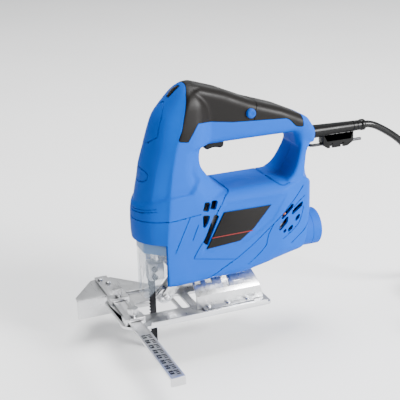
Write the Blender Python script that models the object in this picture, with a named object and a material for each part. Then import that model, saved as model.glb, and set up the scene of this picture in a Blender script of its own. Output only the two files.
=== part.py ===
"""A corded jigsaw with a D-handle, a tilting steel sole, an edge guide and its mains cord.

Sizes below are in millimetres and become metres when a mesh is made.
+X is the cutting direction, +Y the tool's left, +Z up.
The origin is the centre of the sole plate's underside.
"""
import math

import bmesh
import bpy
from mathutils import Vector

MM = 0.001
GAP = 0.3            # clearance between neighbouring pieces
WALL = 2.6           # moulded housing wall
SKIN = 2.0           # thickness of the soft grip

# Housing
BODY_HALF = 31.0
BODY_BOTTOM = 30.0
BODY_TOP = 110.0
BODY_EDGE = 11.0     # rounding of the motor body's long edges
GRIP_HALF = 18.0
GRIP_EDGE = 7.5
GRIP_UNDER = 150.0   # underside of the grip
SPLIT = 0.15         # each housing half starts this far from the middle plane

# Drive train
MOTOR_Z = 66.0
GEAR_TEETH = 36
PINION_TEETH = 6
MODULE = 4.0 / 3.0
GEAR_Z = MOTOR_Z + MODULE * (GEAR_TEETH + PINION_TEETH) / 2
CRANK = 9.0          # half of the blade's 18 mm stroke
ROD_X = 29.5
ROD_R = 4.5

# Blade and its support
BLADE_BACK = 31.0
BLADE_FRONT = 37.5
BLADE_TIP = -39.0
BLADE_HALF = 0.6
ROLLER = (23.0, 12.0)
ROLLER_R = 7.6

# Sole
SOLE_REAR = -67.0
SOLE_FRONT = 71.0
SOLE_HALF = 36.0
SOLE_T = 2.5
BEVEL_Z = 2.0        # height of the tilt axis
ARCH_R = 27.6
ARCH_T = 2.0
BEVEL_SCREW_X = -29.0

# Edge guide
BAR_X = (53.5, 65.5)
BAR_Z = (2.8, 5.0)
BAR_Y = (-78.0, 131.0)
GUIDE_SCREW_X = 59.5
GUIDE_SCREW_Y = 22.0
FENCE_Y = (-40.7, -38.5)

# Handle controls
DIAL_CENTRE = (1.5, 189.5)
DIAL_R = 11.0
BUTTON = (-56.0, 173.8)

# Cord
CORD_R = 3.35
RELIEF_Z = 143.5
RELIEF_END = -179.0
PORT_Z = 53.0
PORT_R = 17.0
PORT_BORE = 14.2
REST_Z = BLADE_TIP - 0.3
COIL_CENTRE = (-288.0, 30.0)
COIL_INNER = 30.0
COIL_OUTER = 51.0
COIL_HEIGHT = 13.8
PLUG_Y = 98.0


# ---------------------------------------------------------------- helpers

def material(name, color, roughness, metallic=0.0, alpha=1.0):
    found = bpy.data.materials.get(name)
    if found:
        return found
    made = bpy.data.materials.new(name)
    made.use_nodes = True
    shader = made.node_tree.nodes["Principled BSDF"]
    shader.inputs["Base Color"].default_value = (*color, 1.0)
    shader.inputs["Roughness"].default_value = roughness
    shader.inputs["Metallic"].default_value = metallic
    shader.inputs["Alpha"].default_value = alpha
    return made


def filleted(corners, steps=4):
    """Corner points (u, v, radius) to an outline whose corners are arcs."""
    outline = []
    for index, (u, v, radius) in enumerate(corners):
        here = Vector((u, v))
        if radius <= 0:
            outline.append((u, v))
            continue
        before = (Vector(corners[index - 1][:2]) - here).normalized()
        after = (Vector(corners[(index + 1) % len(corners)][:2]) - here).normalized()
        half = before.angle(after) / 2
        centre = here + (before + after).normalized() * (radius / math.sin(half))
        reach = radius / math.tan(half)
        start = here + before * reach - centre
        end = here + after * reach - centre
        turn = start.angle_signed(end)
        for step in range(steps + 1):
            angle = -turn * step / steps
            spoke = Vector((start.x * math.cos(angle) - start.y * math.sin(angle),
                            start.x * math.sin(angle) + start.y * math.cos(angle)))
            outline.append(tuple(centre + spoke))
    return outline


def inset_outline(outline, distance):
    """The outline moved inwards by the same distance everywhere."""
    count = len(outline)
    area = sum(outline[i - 1][0] * outline[i][1] - outline[i][0] * outline[i - 1][1]
               for i in range(count))
    side = 1.0 if area > 0 else -1.0
    moved = []
    for index in range(count):
        here = Vector(outline[index])
        back = (here - Vector(outline[index - 1])).normalized()
        ahead = (Vector(outline[(index + 1) % count]) - here).normalized()
        normal = Vector((-(back.y + ahead.y), back.x + ahead.x)).normalized()
        stretch = max(0.5, normal.dot(Vector((-ahead.y, ahead.x))))
        moved.append(tuple(here + normal * (side * distance / stretch)))
    return moved


def place(axis, u, v, along):
    """A point from outline coordinates: the outline lies across the axis, in X, Y, Z order."""
    if axis == "x":
        return (along, u, v)
    if axis == "y":
        return (u, along, v)
    return (u, v, along)


def tidy(mesh):
    bmesh.ops.recalc_face_normals(mesh, faces=mesh.faces)
    return mesh


def prism(outline, axis, low, high, edge=0.0, steps=3):
    """An outline extruded along an axis; edge rounds the rims of both ends."""
    if edge <= 0:
        return loft([[place(axis, u, v, along) for u, v in outline] for along in (low, high)])
    rounding = []
    for step in range(steps + 1):
        angle = math.pi / 2 * step / steps
        rounding.append((edge * (1 - math.sin(angle)), edge * (1 - math.cos(angle))))
    levels = [(inset, low + depth) for inset, depth in rounding]
    levels += [(inset, high - depth) for inset, depth in reversed(rounding)]
    sections = []
    for inset, along in levels:
        rim = inset_outline(outline, inset) if inset > 1e-6 else outline
        sections.append([place(axis, u, v, along) for u, v in rim])
    return loft(sections)


def box(low, high):
    (x0, y0, z0), (x1, y1, z1) = low, high
    return prism([(x0, y0), (x1, y0), (x1, y1), (x0, y1)], "z", z0, z1)


def disc(centre, radius, sides):
    """A round outline."""
    return [(centre[0] + radius * math.cos(2 * math.pi * i / sides),
             centre[1] + radius * math.sin(2 * math.pi * i / sides)) for i in range(sides)]


def cylinder(axis, centre, radius, low, high, sides=20):
    return prism(disc(centre, radius, sides), axis, low, high)


def turned(profile, axis, centre, sides=24):
    """A profile of (radius, along) points turned about an axis; it closes on itself,
    or on the axis where it starts and ends with radius 0."""
    mesh = bmesh.new()
    rings = []
    for radius, along in profile:
        if radius == 0:
            rings.append([mesh.verts.new(place(axis, *centre, along))])
        else:
            rings.append([mesh.verts.new(place(axis, u, v, along))
                          for u, v in disc(centre, radius, sides)])
    pairs = list(zip(rings, rings[1:]))
    if len(rings[0]) > 1:
        pairs.append((rings[-1], rings[0]))
    for one, two in pairs:
        for i in range(sides):
            j = (i + 1) % sides
            if len(one) == 1:
                mesh.faces.new((one[0], two[i], two[j]))
            elif len(two) == 1:
                mesh.faces.new((one[i], one[j], two[0]))
            else:
                mesh.faces.new((one[i], one[j], two[j], two[i]))
    return tidy(mesh)


def ring(axis, centre, inner, outer, low, high, sides=24):
    return turned([(outer, low), (outer, high), (inner, high), (inner, low)], axis, centre, sides)


def loft(sections):
    """Closed skin through sections with equal point counts, each a list of (x, y, z)."""
    mesh = bmesh.new()
    loops = [[mesh.verts.new(p) for p in section] for section in sections]
    mesh.faces.new(loops[0])
    mesh.faces.new(loops[-1])
    for lower, upper in zip(loops, loops[1:]):
        for i in range(len(lower)):
            j = (i + 1) % len(lower)
            mesh.faces.new((lower[i], lower[j], upper[j], upper[i]))
    return tidy(mesh)


def as_object(name, mesh):
    data = bpy.data.meshes.new(name)
    mesh.to_mesh(data)
    mesh.free()
    thing = bpy.data.objects.new(name, data)
    bpy.context.scene.collection.objects.link(thing)
    return thing


def combine(base, others, operation):
    """A bmesh from a Boolean between a base bmesh and each of the others in turn."""
    thing = as_object("base", base)
    for other in others:
        tool = as_object("tool", other)
        change = thing.modifiers.new("change", "BOOLEAN")
        change.operation = operation
        change.object = tool
        change.solver = "MANIFOLD"
        bpy.context.view_layer.update()
        evaluated = thing.evaluated_get(bpy.context.evaluated_depsgraph_get())
        result = bpy.data.meshes.new_from_object(evaluated)
        thing.modifiers.clear()
        old = thing.data
        thing.data = result
        bpy.data.meshes.remove(old)
        spent = tool.data
        bpy.data.objects.remove(tool)
        bpy.data.meshes.remove(spent)
    mesh = bmesh.new()
    mesh.from_mesh(thing.data)
    data = thing.data
    bpy.data.objects.remove(thing)
    bpy.data.meshes.remove(data)
    bmesh.ops.remove_doubles(mesh, verts=mesh.verts, dist=0.002)
    bmesh.ops.dissolve_degenerate(mesh, edges=mesh.edges, dist=0.002)
    return mesh


def join(base, *others):
    return combine(base, others, "UNION")


def cut(base, *others):
    return combine(base, others, "DIFFERENCE")


def common(base, *others):
    return combine(base, others, "INTERSECT")


def mirrored(mesh):
    """The same shape on the other side of the middle plane."""
    for vert in mesh.verts:
        vert.co.y = -vert.co.y
    bmesh.ops.reverse_faces(mesh, faces=mesh.faces)
    return mesh


def finish(name, mesh, look, pivot=(0.0, 0.0, 0.0), sharp=35.0):
    """The finished object in metres, its origin on the pivot and its faces shaded smooth."""
    shift = Vector(pivot)
    for vert in mesh.verts:
        vert.co = (vert.co - shift) * MM
    bmesh.ops.triangulate(mesh, faces=[f for f in mesh.faces if len(f.verts) > 4])
    thing = as_object(name, mesh)
    thing.location = shift * MM
    thing.data.shade_smooth()
    thing.data.set_sharp_from_angle(angle=math.radians(sharp))
    thing.data.materials.append(look)
    return thing


# ---------------------------------------------------------------- looks

def looks():
    return {
        "blue": material("housing_blue", (0.03, 0.2, 0.62), 0.42),
        "grip": material("grip_rubber", (0.035, 0.035, 0.04), 0.75),
        "black": material("black_plastic", (0.02, 0.02, 0.022), 0.5),
        "label": material("label_dark", (0.09, 0.085, 0.085), 0.4),
        "steel": material("zinc_steel", (0.72, 0.73, 0.75), 0.22, 1.0),
        "dark_steel": material("blade_steel", (0.12, 0.12, 0.13), 0.4, 1.0),
        "bright": material("ground_steel", (0.6, 0.61, 0.63), 0.25, 1.0),
        "clear": material("clear_guard", (0.75, 0.82, 0.9), 0.1, 0.0, 0.35),
        "copper": material("copper", (0.75, 0.35, 0.18), 0.35, 1.0),
        "iron": material("laminated_iron", (0.3, 0.3, 0.31), 0.5, 1.0),
        "bronze": material("bush_bronze", (0.6, 0.42, 0.2), 0.4, 1.0),
        "carbon": material("carbon", (0.03, 0.03, 0.03), 0.8),
        "alloy": material("cast_alloy", (0.55, 0.56, 0.57), 0.5, 1.0),
        "nylon": material("fan_nylon", (0.75, 0.72, 0.62), 0.5),
        "cord": material("cord_black", (0.012, 0.012, 0.013), 0.45),
    }


# ---------------------------------------------------------------- housing shapes

# Nose sections from the bottom up: height, half width, x of the side crease,
# x of the front at the middle, x of the rear, half width of the rear.
NOSE = [
    (30.0, 25.5, 27.0, 40.0, -20.0, 22.0),
    (36.0, 31.0, 29.5, 43.0, -24.0, 28.0),
    (56.0, 31.0, 30.3, 46.5, -24.0, 28.0),
    (76.0, 31.0, 29.3, 49.5, -26.0, 28.0),
    (97.0, 31.0, 27.0, 49.2, -32.0, 27.0),
    (108.0, 31.0, 26.0, 46.8, -30.0, 23.0),
    (117.0, 31.0, 25.2, 44.8, -20.5, 21.5),
    (127.0, 30.6, 23.6, 42.6, -12.5, 21.5),
    (136.0, 30.0, 22.0, 40.6, -8.0, 21.5),
    (149.0, 28.5, 18.8, 36.0, -10.0, 19.0),
    (153.0, 28.0, 17.6, 34.6, -20.0, 17.0),
    (166.0, 26.5, 12.8, 30.8, -22.0, 16.5),
    (178.0, 24.5, 8.8, 26.0, -22.0, 16.0),
    (188.0, 22.5, 5.0, 17.0, -20.0, 15.0),
    (196.0, 18.5, 1.5, 8.5, -14.0, 12.0),
    (201.0, 12.5, -2.5, 2.0, -11.0, 8.0),
    (203.5, 6.0, -5.0, -3.0, -9.0, 4.0),
]


def nose_section(level, inset):
    z, half, crease, front, rear, rear_half = level
    half -= inset
    crease -= inset * 0.75
    front -= inset
    rear += inset
    rear_half = max(1.0, rear_half - inset)
    shoulder = rear + (crease - rear) * 0.42
    near = [
        (rear, rear_half * 0.7),
        (rear + 1.5, rear_half),
        (shoulder, half - 1.2),
        (shoulder + (crease - shoulder) * 0.45, half),
        (crease - 1.5, half),
        (crease + 0.3, half - 1.4),
        (crease + (front - crease) * 0.55, half * 0.7),
        (crease + (front - crease) * 0.88, half * 0.38),
    ]
    far = [(x, -y) for x, y in reversed(near)]
    points = [(x, y, z) for x, y in near]
    points.append((front, 0.0, z))
    points += [(x, y, z) for x, y in far]
    return points


def nose_solid(insets):
    """The nose, moved inwards by the distance that insets gives for each height."""
    sections = []
    top = NOSE[-1][0]
    bottom = NOSE[0][0]
    for level in NOSE:
        inset = insets(level[0])
        z = min(max(level[0], bottom + inset), top)
        if level[0] > 190.0 and inset > 0:
            continue
        section = nose_section(level, inset)
        sections.append([(x, y, z) for x, y, _ in section])
    return loft(sections)


BODY_SIDE = [
    (22.0, BODY_BOTTOM, 0.0), (-44.0, BODY_BOTTOM, 30.0), (-72.0, 36.0, 30.0), (-104.0, 40.5, 13.0),
    (-109.5, 56.0, 14.0), (-112.0, 73.0, 7.0), (-119.0, 84.0, 9.0), (-118.5, 95.0, 11.0),
    (-112.0, BODY_TOP, 13.0), (22.0, BODY_TOP, 0.0),
]
BODY_PLAN = [
    (40.0, -BODY_HALF, 0.0), (40.0, BODY_HALF, 0.0), (-80.0, BODY_HALF, 40.0),
    (-112.0, 22.0, 14.0), (-119.0, 8.0, 8.0), (-119.0, -8.0, 8.0), (-112.0, -22.0, 14.0),
    (-80.0, -BODY_HALF, 40.0),
]
# Lower side edges from front to rear: x, height where the edge starts on the side,
# half width and height where it ends on the belly.
BELLY = [
    (45.0, 38.0, 23.0, 29.4),
    (-44.0, 39.0, 22.0, 29.4),
    (-75.0, 53.0, 18.0, 35.8),
    (-104.0, 66.0, 14.0, 40.0),
    (-125.0, 71.0, 12.0, 42.0),
]


def belly_solid(inset):
    """A long block whose lower edges are quarter ellipses that grow towards the rear."""
    steps = 5
    top = 150.0
    side = BODY_HALF + 0.3 - inset
    sections = []
    for x, start, half, bottom in BELLY:
        start += inset * 0.4
        bottom += inset
        half -= inset * 0.4
        right = []
        for step in range(steps + 1):
            angle = math.pi / 2 * step / steps
            right.append((half + (side - half) * math.cos(angle),
                          start - (start - bottom) * math.sin(angle)))
        right.insert(0, (side, top))
        left = [(-y, z) for y, z in reversed(right)]
        sections.append([(x, y, z) for y, z in right + left])
    return loft(sections)


def body_solid(inset, steps=4):
    side = inset_outline(filleted(BODY_SIDE, steps), inset)
    plan = inset_outline(filleted(BODY_PLAN, steps), inset)
    half = BODY_HALF - inset
    block = prism(side, "y", -half, half, BODY_EDGE - inset * 0.8, steps - 1)
    return common(block, prism(plan, "z", 0.0, 150.0), belly_solid(inset))


GRIP_SIDE = [
    (4.0, GRIP_UNDER, 0.0), (4.0, 196.0, 0.0), (-8.0, 203.0, 11.0), (-33.0, 195.0, 40.0),
    (-58.0, 184.0, 60.0), (-88.0, 174.0, 40.0), (-114.0, 162.0, 11.0), (-122.0, 149.0, 11.0),
    (-120.5, 138.0, 0.0), (-102.5, 138.0, 0.0), (-101.0, GRIP_UNDER, 4.0),
]


def grip_solid(inset, steps=4):
    side = inset_outline(filleted(GRIP_SIDE, steps), inset)
    half = GRIP_HALF - inset
    return prism(side, "y", -half, half, GRIP_EDGE - inset * 0.8, steps - 1)


# Rear post sections from the bottom up: height, rear x, front x, half width.
POST = [
    (88.0, -116.5, -78.0, 28.0),
    (98.0, -117.5, -80.0, 28.0),
    (107.0, -114.0, -84.0, 27.0),
    (113.0, -112.8, -92.5, 25.5),
    (120.0, -112.8, -97.5, 24.0),
    (128.0, -113.6, -101.0, 22.0),
    (134.0, -115.6, -103.2, 20.4),
    (140.0, -120.6, -104.2, 19.0),
    (150.0, -121.4, -104.6, 17.6),
]


def post_solid(inset):
    sections = []
    for z, rear, front, half in POST:
        rear += inset
        front -= inset
        half -= inset
        middle = rear + (front - rear) * 0.36
        outline = filleted([
            (rear, -half * 0.4, 3.0), (middle, -half * 0.86, 3.0), (front, -half, 3.0),
            (front, half, 3.0), (middle, half * 0.86, 3.0), (rear, half * 0.4, 3.0),
        ], 2)
        sections.append([(x, y, z) for x, y in outline])
    return loft(sections)


GRIP_AREA = [
    (-5.0, 215.0, 0.0), (-2.0, 203.0, 0.0), (2.0, 196.0, 0.0), (9.8, 169.0, 0.0), (14.0, 160.0, 1.5),
    (5.3, 158.5, 1.5), (-5.1, 173.1, 2.0), (-39.5, 168.0, 20.0), (-92.0, 164.8, 8.0),
    (-100.0, 156.5, 4.0), (-107.0, 155.0, 1.5), (-107.0, 215.0, 0.0),
]


def upper_solid(inset):
    """Grip and upper nose together, the shape that the soft grip wraps."""
    upper_nose = common(nose_solid(lambda z: inset), box((-60.0, -40.0, 149.4), (60.0, 40.0, 230.0)))
    return join(grip_solid(inset), upper_nose)


def slot(corners, radius=1.2):
    """A cutter through the left side wall, its corners cut off."""
    outline = filleted([(x, z, radius) for x, z in corners], 1)
    return prism(outline, "y", BODY_HALF - 12.0, BODY_HALF + 4.0)


# Air slots in the left side wall, each by its four corners.
FRONT_SLOTS = [
    [(-5.0, 97.3), (-9.2, 96.6), (-11.7, 103.2), (-7.5, 103.9)],
    [(-11.6, 98.1), (-15.8, 97.4), (-18.4, 103.9), (-14.1, 104.2)],
    [(-5.0, 92.8), (-10.5, 91.8), (-8.6, 86.0), (-5.0, 81.0)],
    [(-15.2, 92.0), (-19.2, 90.0), (-8.0, 65.4), (-4.9, 68.7)],
]
REAR_SLOTS = [
    [(-79.0, 76.4), (-80.6, 80.6), (-92.9, 89.6), (-91.4, 85.4)],
    [(-90.6, 78.4), (-92.4, 82.6), (-103.8, 88.6), (-102.0, 84.4)],
    [(-76.8, 66.2), (-78.2, 72.2), (-86.6, 79.0), (-85.2, 73.0)],
    [(-94.3, 70.8), (-96.2, 74.9), (-100.7, 78.0), (-98.9, 73.9)],
    [(-85.8, 62.9), (-87.6, 66.6), (-92.4, 69.3), (-90.7, 65.6)],
    [(-80.6, 63.2), (-81.8, 65.8), (-84.8, 67.6), (-83.7, 65.0)],
]


def vent_cutters():
    return [slot(corners, 1.1) for corners in FRONT_SLOTS + REAR_SLOTS]


# Housing screws: x, z and how far from the middle plane the screw seat lies.
SCREWS = [(-60.0, 100.0, 18.0), (4.0, 42.0, 24.0), (-8.0, 163.0, 18.0)]
SCREW_BOSS_R = 4.8


def label_outline(grow):
    corners = [(-24.4, 92.8), (-69.0, 92.4), (-52.6, 74.1), (-39.0, 64.2), (-7.4, 61.8)]
    return inset_outline(corners, -grow)


def rib(z0, z1):
    """A web across the nose that holds a plunger bush, open round the guard's path."""
    wide = box((8.0, -29.8, z0), (22.0, 29.8, z1))
    narrow = box((20.0, -10.2, z0), (36.8, 10.2, z1))
    return join(wide, narrow)


def housing_whole():
    wrapped = prism(inset_outline(filleted(GRIP_AREA), -GAP), "y", -40.0, 40.0)
    outer = cut(upper_solid(0.0), wrapped)
    outer = join(outer, upper_solid(SKIN + GAP), nose_solid(lambda z: 0.0 if z < 152.0 else SKIN + GAP))
    outer = join(outer, body_solid(0.0), post_solid(0.0))
    deep = SKIN + GAP + WALL
    hollow = join(body_solid(WALL, 2), nose_solid(lambda z: WALL if z < 150.0 else deep))
    hollow = join(hollow, grip_solid(deep, 2), post_solid(WALL))
    inside = [cylinder("y", (x, z), SCREW_BOSS_R, -40.0, 40.0, 14) for x, z, _ in SCREWS]
    inside += [rib(67.0, 75.0), rib(113.0, 121.0)]
    inside = [common(piece, outer.copy()) for piece in inside]
    mouth = box((28.5, -40.0, 10.0), (60.0, 40.0, 71.0))
    shell = join(cut(outer, hollow, mouth), *inside)
    openings = [
        box((12.0, -26.4, 10.0), (60.0, 26.4, 66.0)),
        box((28.5, -40.0, 10.0), (60.0, 40.0, 66.0)),
        box((-38.0, -8.0, 140.0), (-16.0, 8.0, 157.0)),
        cylinder("y", DIAL_CENTRE, DIAL_R + 0.5, -3.1, 3.1, 28),
        cylinder("z", (ROD_X, 0.0), 8.3, 60.0, 128.0, 24),
        cylinder("x", (0.0, PORT_Z), PORT_R + GAP, -125.0, -104.2, 28),
        cylinder("x", (0.0, RELIEF_Z), 5.4, -130.0, -109.0, 16),
        cylinder("z", (BEVEL_SCREW_X, 0.0), 3.0, 20.0, 40.0, 16),
    ]
    return cut(shell, *openings)


def housing_half(cutters):
    """The half on the left of the split, with its vents, label pocket and other cutters."""
    keep = box((-150.0, SPLIT, 0.0), (80.0, 60.0, 230.0))
    pocket = prism(label_outline(GAP), "y", BODY_HALF - 1.2, BODY_HALF + 4.0)
    return cut(common(housing_whole(), keep), pocket, *vent_cutters(), *cutters)


def button_hole():
    return cylinder("y", BUTTON, 4.2 + GAP, 8.0, 26.0, 20)


def screw_bores(reach):
    return [cylinder("y", (x, z), 1.75, -5.0, reach, 10) for x, z, _ in SCREWS]


def build_housing(look):
    finish("housing_left", housing_half([button_hole(), *screw_bores(14.0)]), look["blue"])
    pockets = [cylinder("y", (x, z), 3.6, seat, 40.0, 14) for x, z, seat in SCREWS]
    finish("housing_right", mirrored(housing_half(screw_bores(40.0) + pockets)), look["blue"])


def grip_half(cutters):
    area = prism(filleted(GRIP_AREA), "y", SPLIT, 40.0)
    skin = cut(common(upper_solid(0.0), area), upper_solid(SKIN))
    dial_slot = cylinder("y", DIAL_CENTRE, DIAL_R + 0.5, -3.1, 3.1, 28)
    return cut(skin, dial_slot, *cutters)


def build_grip(look):
    finish("grip_left", grip_half([button_hole()]), look["grip"])
    finish("grip_right", mirrored(grip_half([])), look["grip"])


# ---------------------------------------------------------------- trim and controls

def build_trim(look):
    for name, side in (("label_left", 1), ("label_right", -1)):
        plate = prism(label_outline(0.0), "y", BODY_HALF - 0.9, BODY_HALF + 0.2)
        finish(name, plate if side > 0 else mirrored(plate), look["label"])
    port = turned([(PORT_BORE, -128.0), (PORT_R - 0.4, -128.0), (PORT_R, -127.0), (PORT_R, -104.5),
                   (PORT_BORE + 0.4, -104.5)], "x", (0.0, PORT_Z), 28)
    finish("dust_port", port, look["blue"])
    dial = turned([(0.0, -2.5), (DIAL_R - 0.5, -2.5), (DIAL_R, -2.0), (DIAL_R, 2.0),
                   (DIAL_R - 0.5, 2.5), (0.0, 2.5)], "y", DIAL_CENTRE, 28)
    finish("speed_dial", dial, look["black"], (DIAL_CENTRE[0], 0.0, DIAL_CENTRE[1]))
    button = turned([(0.0, 8.2), (4.7, 8.2), (4.7, 9.8), (4.2, 9.8), (4.2, 20.0), (3.4, 21.0),
                     (0.0, 21.0)], "y", BUTTON, 20)
    finish("lock_button", button, look["blue"], (BUTTON[0], 15.0, BUTTON[1]))


def build_trigger(look):
    blade = prism(filleted([(-37.0, 158.0, 0.0), (-35.0, 142.5, 3.0), (-26.0, 144.6, 12.0),
                            (-17.6, 142.0, 3.0), (-16.8, 158.0, 0.0)]), "y", -7.5, 7.5, 1.5, 2)
    flange = box((-40.0, -9.5, 155.4), (-14.5, 9.5, 159.0))
    finish("trigger", join(blade, flange), look["black"], (-26.0, 0.0, 150.0))
    finish("switch_body", box((-49.0, -9.0, 163.4), (-18.0, 9.0, 178.0)), look["black"])


# ---------------------------------------------------------------- motor

def build_motor(look):
    axis = (0.0, MOTOR_Z)
    finish("stator", ring("x", axis, 15.8, 25.6, -84.0, -46.0), look["iron"])
    for name, low, high in (("field_coil_front", -45.7, -41.5), ("field_coil_rear", -88.5, -84.3)):
        finish(name, ring("x", axis, 17.0, 23.5, low, high), look["copper"])
    finish("armature_core", ring("x", axis, 3.8, 15.0, -84.0, -46.0), look["iron"],
           (0.0, 0.0, MOTOR_Z))
    finish("commutator", ring("x", axis, 3.8, 10.0, -97.0, -89.5), look["copper"],
           (0.0, 0.0, MOTOR_Z))
    for name, low, high in (("bearing_rear", -103.5, -98.5), ("bearing_front", -20.0, -14.0)):
        finish(name, ring("x", axis, 3.8, 7.5, low, high, 20), look["bright"])
    for name, side in (("brush_left", 1), ("brush_right", -1)):
        low, high = (10.4, 17.0) if side > 0 else (-17.0, -10.4)
        finish(name, box((-96.0, low, MOTOR_Z - 2.5), (-91.0, high, MOTOR_Z + 2.5)), look["carbon"])
    for name, side in (("brush_holder_left", 1), ("brush_holder_right", -1)):
        holder = cut(box((-98.0, 12.0, MOTOR_Z - 4.5), (-89.2, 20.8, MOTOR_Z + 4.5)),
                     box((-96.3, 11.0, MOTOR_Z - 2.8), (-90.7, 19.0, MOTOR_Z + 2.8)))
        finish(name, holder if side > 0 else mirrored(holder), look["bronze"])


def gear_outline(teeth, centre, phase):
    """Straight-sided teeth with free play, so that the pair turns without touching."""
    pitch = MODULE * teeth / 2
    outline = []
    step = 2 * math.pi / teeth
    for tooth in range(teeth):
        middle = phase + tooth * step
        for part, radius in ((-0.24, pitch - 1.15), (-0.12, pitch + 0.75),
                             (0.12, pitch + 0.75), (0.24, pitch - 1.15)):
            angle = middle + part * step
            outline.append((centre[0] + radius * math.cos(angle),
                            centre[1] + radius * math.sin(angle)))
    return outline


def build_armature_shaft(look):
    """The shaft carries the pinion, whose tooth space faces the gear straight above."""
    shaft = cylinder("x", (0.0, MOTOR_Z), 3.5, -104.0, -5.3, 20)
    teeth = prism(gear_outline(PINION_TEETH, (0.0, MOTOR_Z), math.pi / 2 + math.pi / PINION_TEETH),
                  "x", -5.8, 5.5)
    finish("armature_shaft", join(shaft, teeth), look["bright"], (0.0, 0.0, MOTOR_Z))
    hub = ring("x", (0.0, MOTOR_Z), 3.8, 7.0, -40.0, -30.0, 20)
    plate = ring("x", (0.0, MOTOR_Z), 6.0, 23.0, -32.0, -30.0, 24)
    blades = []
    for index in range(9):
        angle = 2 * math.pi * index / 9
        along = Vector((math.cos(angle), math.sin(angle)))
        across = Vector((-along.y, along.x)) * 0.8
        corners = [along * 6.5 - across, along * 22.5 - across, along * 22.5 + across,
                   along * 6.5 + across]
        blades.append(prism([(p.x, p.y + MOTOR_Z) for p in corners], "x", -39.0, -31.0))
    finish("fan", join(hub, plate, *blades), look["nylon"], (0.0, 0.0, MOTOR_Z))


def build_gear(look):
    gear = prism(gear_outline(GEAR_TEETH, (0.0, GEAR_Z), -math.pi / 2), "x", -5.0, 5.0)
    gear = cut(gear, cylinder("x", (0.0, GEAR_Z), 4.0 + GAP, -8.0, 8.0, 24))
    gear = join(gear, cylinder("x", (0.0, GEAR_Z + CRANK), 3.0, 4.0, 14.6, 16))
    finish("drive_gear", gear, look["bright"], (0.0, 0.0, GEAR_Z))
    axle = turned([(0.0, -18.5), (4.0, -18.5), (4.0, -13.7), (6.5, -13.7), (6.5, -5.4), (4.0, -5.4),
                   (4.0, 5.0), (0.0, 5.0)], "x", (0.0, GEAR_Z), 20)
    plate = prism(filleted([(-26.5, 35.5, 10.0), (26.5, 35.5, 10.0), (26.5, 94.0, 3.0),
                            (18.0, 106.0, 3.0), (-18.0, 106.0, 3.0), (-26.5, 94.0, 3.0)]),
                  "x", -20.0, -14.0)
    plate = cut(plate, cylinder("x", (0.0, MOTOR_Z), 7.8, -25.0, -10.0, 20),
                cylinder("x", (0.0, GEAR_Z), 4.0 + GAP, -25.0, -10.0, 20))
    finish("gear_plate", plate, look["alloy"])
    finish("gear_axle", axle, look["bright"])


# ---------------------------------------------------------------- plunger and blade

def build_plunger(look):
    rod = cylinder("z", (ROD_X, 0.0), ROD_R, 46.3, 126.0, 20)
    yoke = box((15.2, -16.0, GEAR_Z - 7.0), (21.2, 16.0, GEAR_Z + 7.0))
    yoke = cut(yoke, box((10.0, -12.6, GEAR_Z - 3.4), (22.5, 12.6, GEAR_Z + 3.4)))
    web_low = box((20.0, -4.0, GEAR_Z - 7.0), (27.0, 4.0, GEAR_Z - 3.6))
    web_high = box((20.0, -4.0, GEAR_Z + 3.6), (27.0, 4.0, GEAR_Z + 7.0))
    finish("plunger", join(rod, yoke, web_low, web_high), look["bright"], (ROD_X, 0.0, GEAR_Z))
    for name, low in (("bush_lower", 67.3), ("bush_upper", 113.3)):
        bush = ring("z", (ROD_X, 0.0), ROD_R + GAP, 8.0, low, low + 7.4, 24)
        finish(name, bush, look["bronze"])


def build_clamp(look):
    body = prism(filleted([(23.5, -6.5, 2.0), (37.6, -6.5, 2.0), (37.6, 6.5, 2.0),
                           (23.5, 6.5, 2.0)], 3), "z", 30.0, 46.0)
    body = cut(body, box((30.0, -BLADE_HALF - GAP, 20.0), (45.0, BLADE_HALF + GAP, 44.0)))
    finish("blade_clamp", body, look["steel"], (ROD_X, 0.0, 38.0))
    for name, z in (("blade_screw_lower", 34.0), ("blade_screw_upper", 41.5)):
        screw = turned([(0.0, 6.8), (2.6, 6.8), (2.6, 9.4), (2.2, 9.9), (0.0, 9.9)], "y",
                       (33.5, z), 16)
        finish(name, screw, look["dark_steel"])


def build_blade(look):
    teeth = 20
    pitch = 3.1
    outline = [(BLADE_BACK, 43.6), (BLADE_BACK, -34.0), (BLADE_BACK + 4.5, BLADE_TIP)]
    z = -37.5
    for _ in range(teeth):
        outline.append((BLADE_FRONT, z))
        outline.append((BLADE_FRONT - 1.4, z + 0.6))
        z += pitch
    outline += [(BLADE_FRONT, z), (BLADE_FRONT, 43.6)]
    finish("blade", prism(outline, "y", -BLADE_HALF, BLADE_HALF), look["dark_steel"],
           (ROD_X, 0.0, 38.0), 20.0)


def build_roller(look):
    wheel = turned([(1.8, -3.8), (ROLLER_R - 0.6, -3.8), (ROLLER_R, -3.2), (ROLLER_R, -1.4),
                    (ROLLER_R - 0.7, -0.7), (ROLLER_R - 0.7, 0.7), (ROLLER_R, 1.4), (ROLLER_R, 3.2),
                    (ROLLER_R - 0.6, 3.8), (1.8, 3.8)], "y", ROLLER, 20)
    finish("roller", wheel, look["bright"], (ROLLER[0], 0.0, ROLLER[1]))
    pin = turned([(0.0, -7.6), (2.6, -7.6), (2.6, -6.6), (1.5, -6.6), (1.5, 6.6), (2.6, 6.6),
                  (2.6, 7.6), (0.0, 7.6)], "y", ROLLER, 16)
    finish("roller_pin", pin, look["bright"])
    side = filleted([(3.0, 29.6, 0.0), (14.0, 29.6, 0.0), (27.0, 14.0, 4.0), (22.0, 7.6, 4.2),
                     (17.5, 11.0, 4.0), (4.0, 25.0, 3.0)])
    arm = join(prism(side, "y", 4.2, 6.2), prism(side, "y", -6.2, -4.2),
               box((4.0, -5.0, 26.6), (13.5, 5.0, 29.6)))
    arm = cut(arm, cylinder("y", ROLLER, 1.8, -8.0, 8.0, 16))
    finish("roller_arm", arm, look["steel"])


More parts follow.
